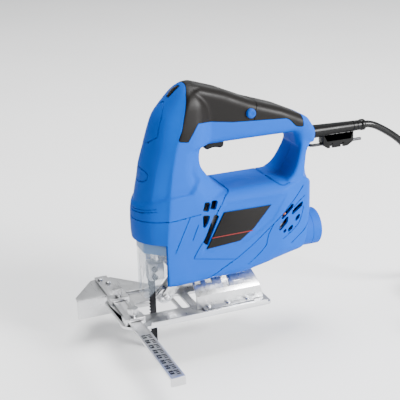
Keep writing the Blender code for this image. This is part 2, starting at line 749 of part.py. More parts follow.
def build_guard(look):
    """A clear wedge: flat front, side walls running back, lower edges rising to the rear."""
    plan = filleted([(26.5, 26.0, 0.0), (26.5, -26.0, 0.0), (43.3, -10.5, 4.0), (43.3, 10.5, 4.0)])
    shell = prism(plan, "z", 16.0, 70.4)
    inner = prism([(20.0, 29.8), (20.0, -29.8), (41.7, -9.8), (41.7, 9.8)], "z", 10.0, 75.0)
    slope = prism([(0.0, -10.0), (60.0, -10.0), (60.0, 16.5), (41.5, 16.5), (26.5, 44.0),
                   (0.0, 44.0)], "y", -40.0, 40.0)
    window = box((38.0, -4.0, 5.0), (50.0, 4.0, 42.0))
    finish("guard", cut(shell, inner, slope, window), look["clear"], (26.5, 0.0, 65.0))


# ---------------------------------------------------------------- sole

def build_sole(look):
    outline = filleted([(SOLE_REAR, -SOLE_HALF, 4.0), (60.0, -SOLE_HALF, 6.0),
                        (SOLE_FRONT, -27.0, 5.0), (SOLE_FRONT, 25.0, 5.0), (61.0, SOLE_HALF, 6.0),
                        (SOLE_REAR, SOLE_HALF, 4.0)], 3)
    plate = prism(outline, "z", 0.0, SOLE_T)
    for side in (-1, 1):
        low, high = sorted((side * SOLE_HALF, side * (SOLE_HALF - 2.0)))
        plate = join(plate, box((SOLE_REAR + 4.0, low, 1.0), (48.0, high, 5.0)))
        for x0, x1 in ((50.4, BAR_X[0] - GAP), (BAR_X[1] + GAP, 68.6)):
            plate = join(plate, box((x0, side * GUIDE_SCREW_Y - 5.0, 1.0),
                                    (x1, side * GUIDE_SCREW_Y + 5.0, 8.0)))
        plate = join(plate, box((50.4, side * GUIDE_SCREW_Y - 5.0, BAR_Z[1] + GAP),
                                (68.6, side * GUIDE_SCREW_Y + 5.0, 8.0)))
        plate = cut(plate, cylinder("z", (GUIDE_SCREW_X, side * GUIDE_SCREW_Y), 2.7, 4.0, 12.0, 16))
    windows = [
        filleted([(14.0, -13.0, 3.0), (48.0, -13.0, 3.0), (48.0, 13.0, 3.0), (14.0, 13.0, 3.0)], 2),
        filleted([(3.5, -15.0, 2.0), (11.0, -15.0, 2.0), (11.0, 15.0, 2.0), (3.5, 15.0, 2.0)], 2),
        filleted([(-46.0, -14.0, 3.0), (-4.0, -14.0, 3.0), (-4.0, 14.0, 3.0), (-46.0, 14.0, 3.0)], 2),
    ]
    plate = cut(plate, *[prism(window, "z", -5.0, 5.0) for window in windows])
    finish("sole_plate", plate, look["steel"], (0.0, 0.0, BEVEL_Z))


def arch_outline(outer, inner, spread, foot):
    """The bracket's section across the tool: an arch with upright legs."""
    outline = []
    steps = 14
    for radius, sign in ((outer, 1), (inner, -1)):
        edge = math.sin(spread) * radius
        if sign > 0:
            outline.append((-edge, foot))
        arc = []
        for step in range(steps + 1):
            angle = -spread + 2 * spread * step / steps
            arc.append((radius * math.sin(angle), BEVEL_Z + radius * math.cos(angle)))
        if sign > 0:
            outline += arc
            outline.append((edge, foot))
        else:
            outline.append((edge, foot))
            outline += reversed(arc)
            outline.append((-edge, foot))
    return outline


def build_bracket(look):
    foot = SOLE_T + GAP
    section = arch_outline(ARCH_R, ARCH_R - ARCH_T, math.radians(62.0), foot)
    arch = prism(section, "x", -64.0, 1.0)
    feet = [box((-52.0, 22.5, foot), (-4.0, 30.5, foot + ARCH_T)),
            box((-52.0, -30.5, foot), (-4.0, -22.5, foot + ARCH_T))]
    arch = join(arch, *feet)
    rear = prism([(-70.0, 0.0), (-64.5, 0.0), (-56.0, 32.0), (-70.0, 32.0)], "y", -40.0, 40.0)
    slot_low = BEVEL_SCREW_X - 3.2
    slot_high = BEVEL_SCREW_X + 3.2
    window = box((slot_low, -22.0, 14.0), (slot_high, 22.0, 40.0))
    arch = cut(arch, rear, window)
    finish("bevel_bracket", arch, look["steel"], (0.0, 0.0, BEVEL_Z))
    screw = turned([(0.0, 19.0), (4.6, 19.0), (5.0, 19.5), (5.0, 23.2), (7.4, 23.2), (7.4, 24.8),
                    (2.6, 24.8), (2.6, 36.0), (0.0, 36.0)], "z", (BEVEL_SCREW_X, 0.0), 20)
    finish("bevel_screw", screw, look["steel"], (BEVEL_SCREW_X, 0.0, 24.0))


def build_guide(look):
    rivets = [(57.0, -60.0), (62.0, -70.0)]
    bar = box((BAR_X[0], BAR_Y[0], BAR_Z[0]), (BAR_X[1], BAR_Y[1], BAR_Z[1]))
    bar = join(bar, box((BAR_X[0], BAR_Y[1] - 2.0, -2.5), (BAR_X[1], BAR_Y[1], 4.0)))
    gusset = prism(filleted([(20.0, -40.0, 0.0), (20.0, -46.0, 3.0), (50.0, -78.0, 5.0),
                             (69.0, -78.0, 5.0), (93.0, -46.0, 3.0), (93.0, -40.0, 0.0)], 3),
                   "z", 0.3, BAR_Z[0] - GAP)
    flange = box((20.0, FENCE_Y[0], -16.0), (93.0, FENCE_Y[1], BAR_Z[0] - GAP))
    fence = join(gusset, flange)
    for x, y in rivets:
        hole = cylinder("z", (x, y), 1.5 + GAP, -5.0, 10.0, 12)
        bar = cut(bar, hole)
        fence = cut(fence, cylinder("z", (x, y), 1.5 + GAP, -5.0, 10.0, 12))
    finish("guide_bar", bar, look["steel"], (59.5, 0.0, 4.0))
    finish("fence", fence, look["steel"], (59.5, 0.0, 4.0))
    for index, (x, y) in enumerate(rivets):
        rivet = turned([(0.0, -1.4), (2.6, -1.4), (3.0, 0.0), (1.5, 0.0), (1.5, 5.3), (3.0, 5.3),
                        (2.4, 6.8), (0.0, 6.8)], "z", (x, y), 12)
        finish(f"fence_rivet_{index + 1}", rivet, look["steel"])
    for name, side in (("guide_screw_left", 1), ("guide_screw_right", -1)):
        screw = turned([(0.0, BAR_Z[1] + GAP), (2.4, BAR_Z[1] + GAP), (2.4, 11.0), (4.8, 11.0),
                        (4.8, 15.0), (4.0, 16.0), (0.0, 16.0)], "z",
                       (GUIDE_SCREW_X, side * GUIDE_SCREW_Y), 18)
        finish(name, screw, look["steel"], (GUIDE_SCREW_X, side * GUIDE_SCREW_Y, 12.0))


# ---------------------------------------------------------------- fasteners

def build_screws(look):
    for index, (x, z, seat) in enumerate(SCREWS):
        under = -seat - GAP
        screw = turned([(0.0, under - 2.2), (2.6, under - 2.2), (3.2, under - 1.4), (3.2, under),
                        (1.4, under), (1.4, 12.0), (0.0, 12.0)], "y", (x, z), 12)
        finish(f"housing_screw_{index + 1}", screw, look["bright"])


# ---------------------------------------------------------------- cord and what it carries

def build_relief(look):
    relief = turned([(0.0, -111.5), (7.0, -111.5), (7.0, -114.0), (5.0, -114.0), (5.0, -124.0),
                     (6.1, -124.2), (4.6, -175.0), (5.0, -176.0), (5.0, RELIEF_END + 0.4),
                     (4.4, RELIEF_END), (0.0, RELIEF_END)], "x", (0.0, RELIEF_Z), 16)
    finish("strain_relief", relief, look["black"])
    clip = prism([(-3.8, 126.5), (-1.85, 126.5), (-1.85, 132.4), (1.85, 132.4), (1.85, 126.5),
                  (3.8, 126.5), (3.8, 137.35), (-3.8, 137.35)], "x", -166.0, -134.0)
    finish("key_clip", clip, look["black"])
    key = sweep([(-176.0, 0.0, 130.4), (-126.5, 0.0, 130.4), (-124.2, -1.0, 130.4),
                 (-123.2, -3.4, 130.4), (-123.2, -17.0, 130.4)], 1.5, 6)
    finish("hex_key", key, look["bright"], (-150.0, 0.0, 130.4))


def sweep(points, radius, sides):
    """A round bar along a bent line that stays level."""
    sections = []
    for index, point in enumerate(points):
        here = Vector(point)
        before = Vector(points[max(index - 1, 0)])
        after = Vector(points[min(index + 1, len(points) - 1)])
        run = (after - before).normalized()
        side = Vector((0.0, 0.0, 1.0)).cross(run).normalized()
        loop = []
        for step in range(sides):
            angle = 2 * math.pi * step / sides
            offset = side * math.cos(angle) + Vector((0.0, 0.0, 1.0)) * math.sin(angle)
            loop.append(tuple(here + offset * radius))
        sections.append(loop)
    return loft(sections)


RUN_ROUTE = [
    (RELIEF_END - 0.4, 0.0, 143.5), (-183.5, 0.0, 143.2), (-190.0, 0.0, 141.3), (-198.0, 0.0, 137.2),
    (-206.0, 0.1, 132.2), (-214.0, 0.3, 126.5), (-222.0, 0.7, 119.2), (-229.3, 1.2, 109.3),
    (-234.6, 2.0, 95.0), (-237.8, 2.8, 76.0), (-238.8, 2.4, 54.0), (-239.4, 0.5, 32.0),
    (-241.2, -3.5, 10.0), (-246.0, -9.0, -9.0), (-254.5, -14.5, -20.5), (-263.0, -17.6, -23.5),
    (-266.0, -18.7, -24.0),
]
TAIL_ROUTE = [
    (-300.0, 86.0, -35.9), (-287.0, 93.5, -35.9), (-275.0, 97.5, -34.0), (-263.0, 98.0, -29.0),
    (-256.5, 98.0, -27.1), (-254.0, 98.0, -27.0), (-251.3, 98.0, -27.0),
]


def smooth_route(points, spacing):
    """A Catmull-Rom curve through the points, read at even spacing."""
    dense = []
    for index in range(len(points) - 1):
        p = [Vector(points[max(0, min(len(points) - 1, index + k))]) for k in (-1, 0, 1, 2)]
        for step in range(12):
            t = step / 12
            dense.append(0.5 * (2 * p[1] + (p[2] - p[0]) * t
                                + (2 * p[0] - 5 * p[1] + 4 * p[2] - p[3]) * t ** 2
                                + (3 * p[1] - p[0] - 3 * p[2] + p[3]) * t ** 3))
    dense.append(Vector(points[-1]))
    length = sum((b - a).length for a, b in zip(dense, dense[1:]))
    count = max(2, round(length / spacing))
    even = [dense[0]]
    walked = 0.0
    for a, b in zip(dense, dense[1:]):
        walked += (b - a).length
        if walked >= length * len(even) / count and len(even) < count:
            even.append(b)
    even.append(dense[-1])
    return even


def cord_tube(name, route, look):
    curve = bpy.data.curves.new(name, "CURVE")
    curve.dimensions = "3D"
    curve.bevel_depth = CORD_R * MM
    curve.bevel_resolution = 2
    curve.render_resolution_u = 0
    curve.use_fill_caps = True
    points = [Vector(route[0]), *smooth_route(route[1:-1], 5.0 * CORD_R), Vector(route[-1])]
    spline = curve.splines.new("POLY")
    spline.points.add(len(points) - 1)
    for knot, point in zip(spline.points, points):
        knot.co = (*(point * MM), 1.0)
    curve.materials.append(look)
    tube = bpy.data.objects.new(name, curve)
    bpy.context.scene.collection.objects.link(tube)


def build_cord(look):
    cord_tube("cord_run", RUN_ROUTE, look["cord"])
    cord_tube("cord_tail", TAIL_ROUTE, look["cord"])
    top = REST_Z + COIL_HEIGHT
    coil = turned([(COIL_INNER, REST_Z + 2.0), (COIL_INNER + 2.0, REST_Z), (COIL_OUTER - 2.0, REST_Z),
                   (COIL_OUTER, REST_Z + 2.0), (COIL_OUTER, top - 2.0), (COIL_OUTER - 2.0, top),
                   (COIL_INNER + 2.0, top), (COIL_INNER, top - 2.0)], "z", COIL_CENTRE, 24)
    finish("cord_coil", coil, look["cord"])
    tie_x = COIL_CENTRE[0] - (COIL_INNER + COIL_OUTER) / 2
    y = COIL_CENTRE[1]
    reach = (COIL_OUTER - COIL_INNER) / 2 + 0.8
    tie = cut(box((tie_x - reach - 1.2, y - 2.0, REST_Z + 1.0), (tie_x + reach + 1.2, y + 2.0, top + 2.0)),
              box((tie_x - reach, y - 5.0, REST_Z - 5.0), (tie_x + reach, y + 5.0, top + GAP)))
    finish("cord_tie", tie, look["black"])


def build_plug(look):
    """A flat two-pin plug lying on its side beside the coil."""
    z = REST_Z + 12.3
    body = prism(filleted([(-250.3, PLUG_Y - 6.0, 0.0), (-228.0, PLUG_Y - 17.5, 5.0),
                           (-214.0, PLUG_Y - 17.5, 4.0), (-214.0, PLUG_Y + 17.5, 4.0),
                           (-228.0, PLUG_Y + 17.5, 5.0), (-250.3, PLUG_Y + 6.0, 0.0)]),
                 "z", z - 12.3, z + 7.0, 3.0, 2)
    finish("plug_body", body, look["cord"])
    for name, side in (("plug_pin_left", 1), ("plug_pin_right", -1)):
        pin = turned([(0.0, -213.7), (2.4, -213.7), (2.4, -196.5), (1.6, -195.0), (0.0, -195.0)],
                     "x", (PLUG_Y + side * 9.3, z - 2.0), 12)
        finish(name, pin, look["bright"])


def main():
    for thing in list(bpy.data.objects):
        bpy.data.objects.remove(thing)
    look = looks()
    build_housing(look)
    build_grip(look)
    build_trim(look)
    build_trigger(look)
    build_motor(look)
    build_armature_shaft(look)
    build_gear(look)
    build_plunger(look)
    build_clamp(look)
    build_blade(look)
    build_roller(look)
    build_guard(look)
    build_sole(look)
    build_bracket(look)
    build_guide(look)
    build_screws(look)
    build_relief(look)
    build_cord(look)
    build_plug(look)


main()
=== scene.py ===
"""The looks of the corded jigsaw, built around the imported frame. Sizes are in millimetres."""
import math

import bmesh
import bpy
from mathutils import Matrix, Vector


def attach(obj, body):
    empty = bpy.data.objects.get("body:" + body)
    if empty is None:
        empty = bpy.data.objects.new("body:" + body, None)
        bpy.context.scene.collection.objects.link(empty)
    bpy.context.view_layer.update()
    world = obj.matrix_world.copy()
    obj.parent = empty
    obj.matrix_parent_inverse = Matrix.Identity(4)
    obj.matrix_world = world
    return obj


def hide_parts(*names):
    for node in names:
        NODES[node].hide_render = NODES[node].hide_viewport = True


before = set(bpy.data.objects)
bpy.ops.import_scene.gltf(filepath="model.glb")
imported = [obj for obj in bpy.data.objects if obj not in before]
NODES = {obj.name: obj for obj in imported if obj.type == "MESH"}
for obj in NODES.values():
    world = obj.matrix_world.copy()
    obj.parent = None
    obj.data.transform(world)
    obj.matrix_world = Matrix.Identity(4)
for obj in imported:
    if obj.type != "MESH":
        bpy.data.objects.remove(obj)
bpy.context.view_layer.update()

MM = 0.001

# ---- sizes shared with the solids

GAP = 0.3
WALL = 2.6
SKIN = 2
SPLIT = 0.15
BODY_HALF = 31
BODY_BOTTOM = 30
BODY_TOP = 110
BODY_EDGE = 11
GRIP_HALF = 18
GRIP_EDGE = 7.5
GRIP_UNDER = 150
ROD_X = 29.5
DIAL_CENTRE = (1.5, 189.5)
DIAL_R = 11
DIAL_HALF = 2.5
BUTTON = (-56, 173.8)
CORD_R = 3.35
RELIEF_Z = 143.5
RELIEF_END = -179
PORT_Z = 53
PORT_R = 17
PORT_BORE = 14.2
PORT_END = -128
PORT_ROOT = -104.5
REST_Z = -39.3
COIL_CENTRE = (-288, 30)
BEVEL_Z = 2
BEVEL_SCREW = (-29, 0)
GUIDE_X = 59.5
GUIDE_SCREW_Y = 22
CLAMP_X = 33.5
# The housing screws: x, z and the depth of the head's seat, measured from the split.
SCREWS = [(-60, 100, 18), (4, 42, 24), (-8, 163, 18)]

# ---- sizes of the finish

VOXEL = 0.9
MELT_ROUNDS = 2
SHARP_ANGLE = 32
EDGE_ANGLE = 28
# A half width that reaches past the housing's sides and a height above its body, for cutting blocks.
ACROSS = 40
ABOVE_BODY = 150

# ---- camera

# Where the camera stands, what it looks at, its roll, and its focal length on a 36 mm sensor.
CAMERA_AT = Vector((287.6, 762.8, 392.9))
CAMERA_TARGET = Vector((45.3, 150.8, 154.6))
CAMERA_ROLL = math.radians(-1.7)
CAMERA_LENS = 89.14


def add_camera():
    look = (CAMERA_TARGET - CAMERA_AT).normalized()
    right = look.cross(Vector((0, 0, 1))).normalized()
    up = right.cross(look)
    turned_right = right * math.cos(CAMERA_ROLL) + up * math.sin(CAMERA_ROLL)
    turned_up = up * math.cos(CAMERA_ROLL) - right * math.sin(CAMERA_ROLL)
    data = bpy.data.cameras.new("camera")
    data.lens = CAMERA_LENS
    data.sensor_width = 36
    data.clip_start = 0.01
    data.clip_end = 20
    camera = linked("camera", data)
    turn = Matrix((turned_right, turned_up, -look)).transposed().to_4x4()
    camera.matrix_world = Matrix.Translation(CAMERA_AT * MM) @ turn
    bpy.context.scene.camera = camera


# ---- mesh helpers

def filleted(corners, steps=4):
    """Corner points (u, v, radius) to an outline whose corners are arcs."""
    outline = []
    for index, (u, v, radius) in enumerate(corners):
        here = Vector((u, v))
        if radius <= 0:
            outline.append((u, v))
            continue
        before = (Vector(corners[index - 1][:2]) - here).normalized()
        after = (Vector(corners[(index + 1) % len(corners)][:2]) - here).normalized()
        half = before.angle(after) / 2
        centre = here + (before + after).normalized() * (radius / math.sin(half))
        reach = radius / math.tan(half)
        start = here + before * reach - centre
        end = here + after * reach - centre
        turn = start.angle_signed(end)
        for step in range(steps + 1):
            angle = -turn * step / steps
            spoke = Vector((start.x * math.cos(angle) - start.y * math.sin(angle),
                            start.x * math.sin(angle) + start.y * math.cos(angle)))
            outline.append(tuple(centre + spoke))
    return outline


def inset_outline(outline, distance):
    count = len(outline)
    area = sum(outline[i - 1][0] * outline[i][1] - outline[i][0] * outline[i - 1][1]
               for i in range(count))
    side = 1 if area > 0 else -1
    moved = []
    for index in range(count):
        here = Vector(outline[index])
        back = (here - Vector(outline[index - 1])).normalized()
        ahead = (Vector(outline[(index + 1) % count]) - here).normalized()
        normal = Vector((-(back.y + ahead.y), back.x + ahead.x)).normalized()
        stretch = max(0.5, normal.dot(Vector((-ahead.y, ahead.x))))
        moved.append(tuple(here + normal * (side * distance / stretch)))
    return moved


def place(axis, u, v, along):
    if axis == "x":
        return (along, u, v)
    if axis == "y":
        return (u, along, v)
    return (u, v, along)


def faced_out(mesh):
    bmesh.ops.recalc_face_normals(mesh, faces=mesh.faces)
    return mesh


def loft(sections):
    mesh = bmesh.new()
    loops = [[mesh.verts.new(p) for p in section] for section in sections]
    mesh.faces.new(loops[0])
    mesh.faces.new(loops[-1])
    for lower, upper in zip(loops, loops[1:]):
        for i in range(len(lower)):
            j = (i + 1) % len(lower)
            mesh.faces.new((lower[i], lower[j], upper[j], upper[i]))
    return faced_out(mesh)


def prism(outline, axis, low, high, edge=0, steps=3):
    """An outline extruded along an axis; edge rounds the rims of both ends."""
    if edge <= 0:
        return loft([[place(axis, u, v, along) for u, v in outline] for along in (low, high)])
    rounding = []
    for step in range(steps + 1):
        angle = math.pi / 2 * step / steps
        rounding.append((edge * (1 - math.sin(angle)), edge * (1 - math.cos(angle))))
    levels = [(inset, low + depth) for inset, depth in rounding]
    levels += [(inset, high - depth) for inset, depth in reversed(rounding)]
    sections = []
    for inset, along in levels:
        rim = inset_outline(outline, inset) if inset > 1e-6 else outline
        sections.append([place(axis, u, v, along) for u, v in rim])
    return loft(sections)


def box(low, high, edge=0):
    (x0, y0, z0), (x1, y1, z1) = low, high
    return prism([(x0, y0), (x1, y0), (x1, y1), (x0, y1)], "z", z0, z1, edge, 2)


def disc(centre, radius, sides):
    return [(centre[0] + radius * math.cos(2 * math.pi * i / sides),
             centre[1] + radius * math.sin(2 * math.pi * i / sides)) for i in range(sides)]


def cylinder(axis, centre, r, low, high, sides=32):
    return prism(disc(centre, r, sides), axis, low, high)


def turned(profile, axis, centre, sides=48):
    """A profile of (radius, along) points turned about an axis."""
    mesh = bmesh.new()
    rings = []
    for radius, along in profile:
        ring = disc(centre, radius, sides) if radius else [centre]
        rings.append([mesh.verts.new(place(axis, u, v, along)) for u, v in ring])
    pairs = list(zip(rings, rings[1:]))
    if len(rings[0]) > 1:
        pairs.append((rings[-1], rings[0]))
    for one, two in pairs:
        for i in range(sides):
            j = (i + 1) % sides
            if len(one) == 1:
                mesh.faces.new((one[0], two[i], two[j]))
            elif len(two) == 1:
                mesh.faces.new((one[i], one[j], two[0]))
            else:
                mesh.faces.new((one[i], one[j], two[j], two[i]))
    return faced_out(mesh)


def linked(name, data):
    """A new object in the scene."""
    thing = bpy.data.objects.new(name, data)
    bpy.context.scene.collection.objects.link(thing)
    return thing


def as_object(name, mesh):
    data = bpy.data.meshes.new(name)
    mesh.to_mesh(data)
    mesh.free()
    return linked(name, data)


def evaluated(thing):
    """A new mesh of the object as its modifiers or its text make it."""
    bpy.context.view_layer.update()
    graph = bpy.context.evaluated_depsgraph_get()
    return bpy.data.meshes.new_from_object(thing.evaluated_get(graph))


def applied(thing, kind, **settings):
    """Replaces the object's mesh by what one modifier makes of it."""
    change = thing.modifiers.new("change", kind)
    for key, value in settings.items():
        setattr(change, key, value)
    old = thing.data
    thing.data = evaluated(thing)
    thing.modifiers.clear()
    bpy.data.meshes.remove(old)


def dropped(thing):
    """The object's mesh as a bmesh, with the object itself removed."""
    mesh = bmesh.new()
    mesh.from_mesh(thing.data)
    data = thing.data
    bpy.data.objects.remove(thing)
    bpy.data.meshes.remove(data)
    return mesh


def combine(base, others, operation):
    thing = as_object("base", base)
    for other in others:
        tool = as_object("tool", other)
        applied(thing, "BOOLEAN", operation=operation, object=tool, solver="MANIFOLD")
        dropped(tool).free()
    mesh = dropped(thing)
    bmesh.ops.remove_doubles(mesh, verts=mesh.verts, dist=0.002)
    bmesh.ops.dissolve_degenerate(mesh, edges=mesh.edges, dist=0.002)
    return mesh


def join(base, *others):
    return combine(base, others, "UNION")


def cut(base, *others):
    return combine(base, others, "DIFFERENCE")


def common(base, *others):
    return combine(base, others, "INTERSECT")


def mirrored(mesh):
    for vert in mesh.verts:
        vert.co.y = -vert.co.y
    bmesh.ops.reverse_faces(mesh, faces=mesh.faces)
    return mesh


def swung(mesh, angle, axis, centre):
    """The mesh turned about an axis and then moved to a centre."""
    turn = Matrix.Rotation(angle, 4, axis)
    for vert in mesh.verts:
        vert.co = turn @ vert.co + Vector(centre)
    return mesh


def merged(meshes):
    """One mesh of several that lie apart."""
    whole = bmesh.new()
    for mesh in meshes:
        flat = bpy.data.meshes.new("part")
        mesh.to_mesh(flat)
        mesh.free()
        whole.from_mesh(flat)
        bpy.data.meshes.remove(flat)
    return whole


def shrunk(mesh, distance):
    """A copy moved inwards along its normals, by a number or by a function of the place."""
    copy = mesh.copy()
    copy.normal_update()
    for vert in copy.verts:
        vert.co -= vert.normal * (distance(vert.co) if callable(distance) else distance)
    return copy


def ribbon(points, width):
    """A closed outline of that width along an open line."""
    left = []
    right = []
    for index, point in enumerate(points):
        here = Vector(point)
        back = here - Vector(points[index - 1]) if index else Vector(points[1]) - here
        ahead = Vector(points[index + 1]) - here if index + 1 < len(points) else back
        run = (back.normalized() + ahead.normalized()).normalized()
        side = Vector((-run.y, run.x)) * (width / 2)
        left.append(tuple(here + side))
        right.append(tuple(here - side))
    return left + right[::-1]


def melted(mesh, rounds):
    """One even skin over the mesh, with its edges softened."""
    thing = as_object("form", mesh)
    applied(thing, "REMESH", mode="VOXEL", voxel_size=VOXEL)
    applied(thing, "SMOOTH", factor=0.5, iterations=rounds)
    return dropped(thing)


def hex_outline(centre, across):
    """A hexagon by its width across the flats."""
    reach = across / 2 / math.cos(math.pi / 6)
    return disc(centre, reach, 6)


def knurled(centre, radius, low, high, teeth, depth, axis="z", edge=0.5):
    """A wheel with that many flat-topped teeth round its rim."""
    outline = []
    for i in range(teeth):
        for share, dip in ((0, depth), (0.3, 0), (0.6, 0)):
            angle = 2 * math.pi * (i + share) / teeth
            reach = radius - dip
            outline.append((centre[0] + reach * math.cos(angle), centre[1] + reach * math.sin(angle)))
    return prism(outline, axis, low, high, edge, 2)


def between(points, t):
    """Catmull-Rom value at t, counted in points, through tuples of numbers."""
    index = min(int(t), len(points) - 2)
    part = t - index
    p = [Vector(points[max(0, min(len(points) - 1, index + k))]) for k in (-1, 0, 1, 2)]
    return 0.5 * (2 * p[1] + (p[2] - p[0]) * part
                  + (2 * p[0] - 5 * p[1] + 4 * p[2] - p[3]) * part ** 2
                  + (3 * p[1] - p[0] - 3 * p[2] + p[3]) * part ** 3)


def smooth_line(points, each):
    """A smooth line through the points, each stretch cut in the same number of steps."""
    line = [tuple(between(points, i + s / each)) for i in range(len(points) - 1) for s in range(each)]
    return line + [tuple(points[-1])]


# ---- finished pieces

def piece(name, mesh, look, body, node=None, sharp=SHARP_ANGLE):
    """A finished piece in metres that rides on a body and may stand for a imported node."""
    for vert in mesh.verts:
        vert.co = vert.co * MM
    thing = as_object(name, mesh)
    thing.data.shade_smooth()
    thing.data.set_sharp_from_angle(angle=math.radians(sharp))
    thing.data.materials.append(LOOKS[look])
    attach(thing, body)
    if node:
        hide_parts(node)
    return thing


def solid_of(node):
    """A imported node's mesh in millimetres, with its flat faces whole again."""
    mesh = bmesh.new()
    mesh.from_mesh(NODES[node].data)
    for vert in mesh.verts:
        vert.co = vert.co / MM
    bmesh.ops.remove_doubles(mesh, verts=mesh.verts, dist=0.002)
    bmesh.ops.dissolve_limit(mesh, angle_limit=math.radians(0.6), verts=mesh.verts, edges=mesh.edges)
    return faced_out(mesh)


def eased(mesh, width, angle=EDGE_ANGLE, steps=2):
    """The mesh with its edges rounded by that width."""
    thing = as_object("eased", mesh)
    applied(thing, "BEVEL", width=width, segments=steps, limit_method="ANGLE",
            angle_limit=math.radians(angle))
    return dropped(thing)


def eased_node(node, body, look, width=0.35, angle=EDGE_ANGLE, steps=2):
    """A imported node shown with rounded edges."""
    return piece(node + "_finish", eased(solid_of(node), width, angle, steps), look, body, node)


# ---- materials

class Graph:
    """A material, with short ways to add nodes to it and to link them."""

    def __init__(self, name):
        self.material = bpy.data.materials.new(name)
        self.material.use_nodes = True
        self.tree = self.material.node_tree
        self.shader = self.tree.nodes["Principled BSDF"]
        self.place = self.add("ShaderNodeTexCoord").outputs["Object"]

    def add(self, kind, inputs=None, **settings):
        node = self.tree.nodes.new(kind)
        for key, value in settings.items():
            setattr(node, key, value)
        for key, value in (inputs or {}).items():
            self.feed(node.inputs[key], value)
        return node

    def feed(self, socket, value):
        if hasattr(value, "is_output"):
            self.tree.links.new(value, socket)
        else:
            socket.default_value = value

    def noise(self, scale, detail=3, rough=0.5):
        return self.add("ShaderNodeTexNoise", {"Vector": self.place, "Scale": scale, "Detail": detail,
                                               "Roughness": rough}).outputs["Fac"]

    def spread(self, value, low, high, start=0.3, end=0.7):
        return self.add("ShaderNodeMapRange", {"Value": value, "From Min": start, "From Max": end,
                                               "To Min": low, "To Max": high}).outputs["Result"]

    def blend(self, factor, one, two):
        node = self.add("ShaderNodeMix", data_type="RGBA")
        self.tree.links.new(factor, node.inputs["Factor"])
        node.inputs[6].default_value = (*one, 1)
        node.inputs[7].default_value = (*two, 1)
        return node.outputs[2]

    def bump(self, height, strength, distance):
        node = self.add("ShaderNodeBump", {"Height": height, "Strength": strength,
                                           "Distance": distance})
        self.tree.links.new(node.outputs["Normal"], self.shader.inputs["Normal"])

    def set(self, **values):
        for key, value in values.items():
            self.feed(self.shader.inputs[key.replace("_", " ")], value)


def plastic(name, color, dark, roughness, grain, depth, shine):
    """Moulded plastic: fine spark-eroded grain, slight colour drift and rubbed patches."""
    g = Graph(name)
    drift = g.spread(g.noise(14, 4), 0, 1)
    rubbed = g.spread(g.noise(38, 5, 0.65), roughness - 0.06, roughness + 0.1)
    g.set(Base_Color=g.blend(drift, color, dark), Roughness=rubbed)
    g.shader.inputs["Specular IOR Level"].default_value = shine
    g.bump(g.noise(grain, 2), 0.25, depth)
    return g.material


def metal(name, color, dark, roughness, brushed=(1, 1, 1), scratch=0.3):
    """Plated or ground steel: fine directional lines, cloudy plating and a few darker spots."""
    g = Graph(name)
    stretched = g.add("ShaderNodeMapping", {"Vector": g.place, "Scale": brushed}).outputs["Vector"]
    lines = g.add("ShaderNodeTexNoise", {"Vector": stretched, "Scale": 400, "Detail": 3,
                                         "Roughness": 0.6}).outputs["Fac"]
    cloud = g.spread(g.noise(30, 4, 0.6), 0, 1)
    g.set(Base_Color=g.blend(cloud, color, dark), Metallic=1,
          Roughness=g.spread(lines, roughness - 0.05, roughness + 0.12))
    g.bump(lines, scratch, 8e-6)
    return g.material


def clear(name, color, roughness, alpha):
    """Clear polycarbonate with fine scratches and a little haze."""
    g = Graph(name)
    haze = g.noise(60, 6, 0.7)
    g.set(Base_Color=(*color, 1), Roughness=g.spread(haze, roughness, roughness + 0.15))
    g.shader.inputs["Alpha"].default_value = alpha
    g.shader.inputs["IOR"].default_value = 1.5
    g.bump(g.noise(900, 2), 0.1, 2e-5)
    return g.material


# Plastics: name, two colours, roughness, scale and depth of the grain, shine.
PLASTICS = {
    "blue": ("blue_nylon", (0.0001, 0.076, 0.44), (0.0001, 0.067, 0.4), 0.5, 1500, 3e-5, 0.04),
    "button": ("button_blue", (0.0002, 0.055, 0.34), (0.0002, 0.05, 0.3), 0.45, 1200, 3e-5, 0.06),
    "grip": ("grip_rubber", (0.0046, 0.0036, 0.0032), (0.003, 0.0025, 0.0022), 0.42, 1800, 6e-5, 0.14),
    "black": ("black_plastic", (0.0012, 0.0012, 0.0013), (0.0022, 0.0022, 0.0024), 0.3, 1400, 3e-5, 0.16),
    "label": ("plate_dark", (0.0068, 0.006, 0.0058), (0.0052, 0.0048, 0.0046), 0.4, 1600, 2e-5, 0.12),
    "red": ("plate_red", (0.16, 0.004, 0.004), (0.13, 0.003, 0.003), 0.4, 1600, 1e-5, 0.3),
    "carbon": ("carbon_brush", (0.006, 0.006, 0.006), (0.01, 0.01, 0.01), 0.6, 2500, 0.0001, 0.3),
    "nylon": ("fan_nylon", (0.3, 0.28, 0.22), (0.26, 0.24, 0.19), 0.45, 900, 4e-5, 0.4),
    "cord": ("cord_sheath", (0.0012, 0.0012, 0.0013), (0.002, 0.002, 0.0022), 0.24, 1100, 2e-5, 0.25),
    "paint": ("scale_paint", (0.004, 0.004, 0.004), (0.007, 0.007, 0.007), 0.5, 900, 2e-5, 0.3),
}
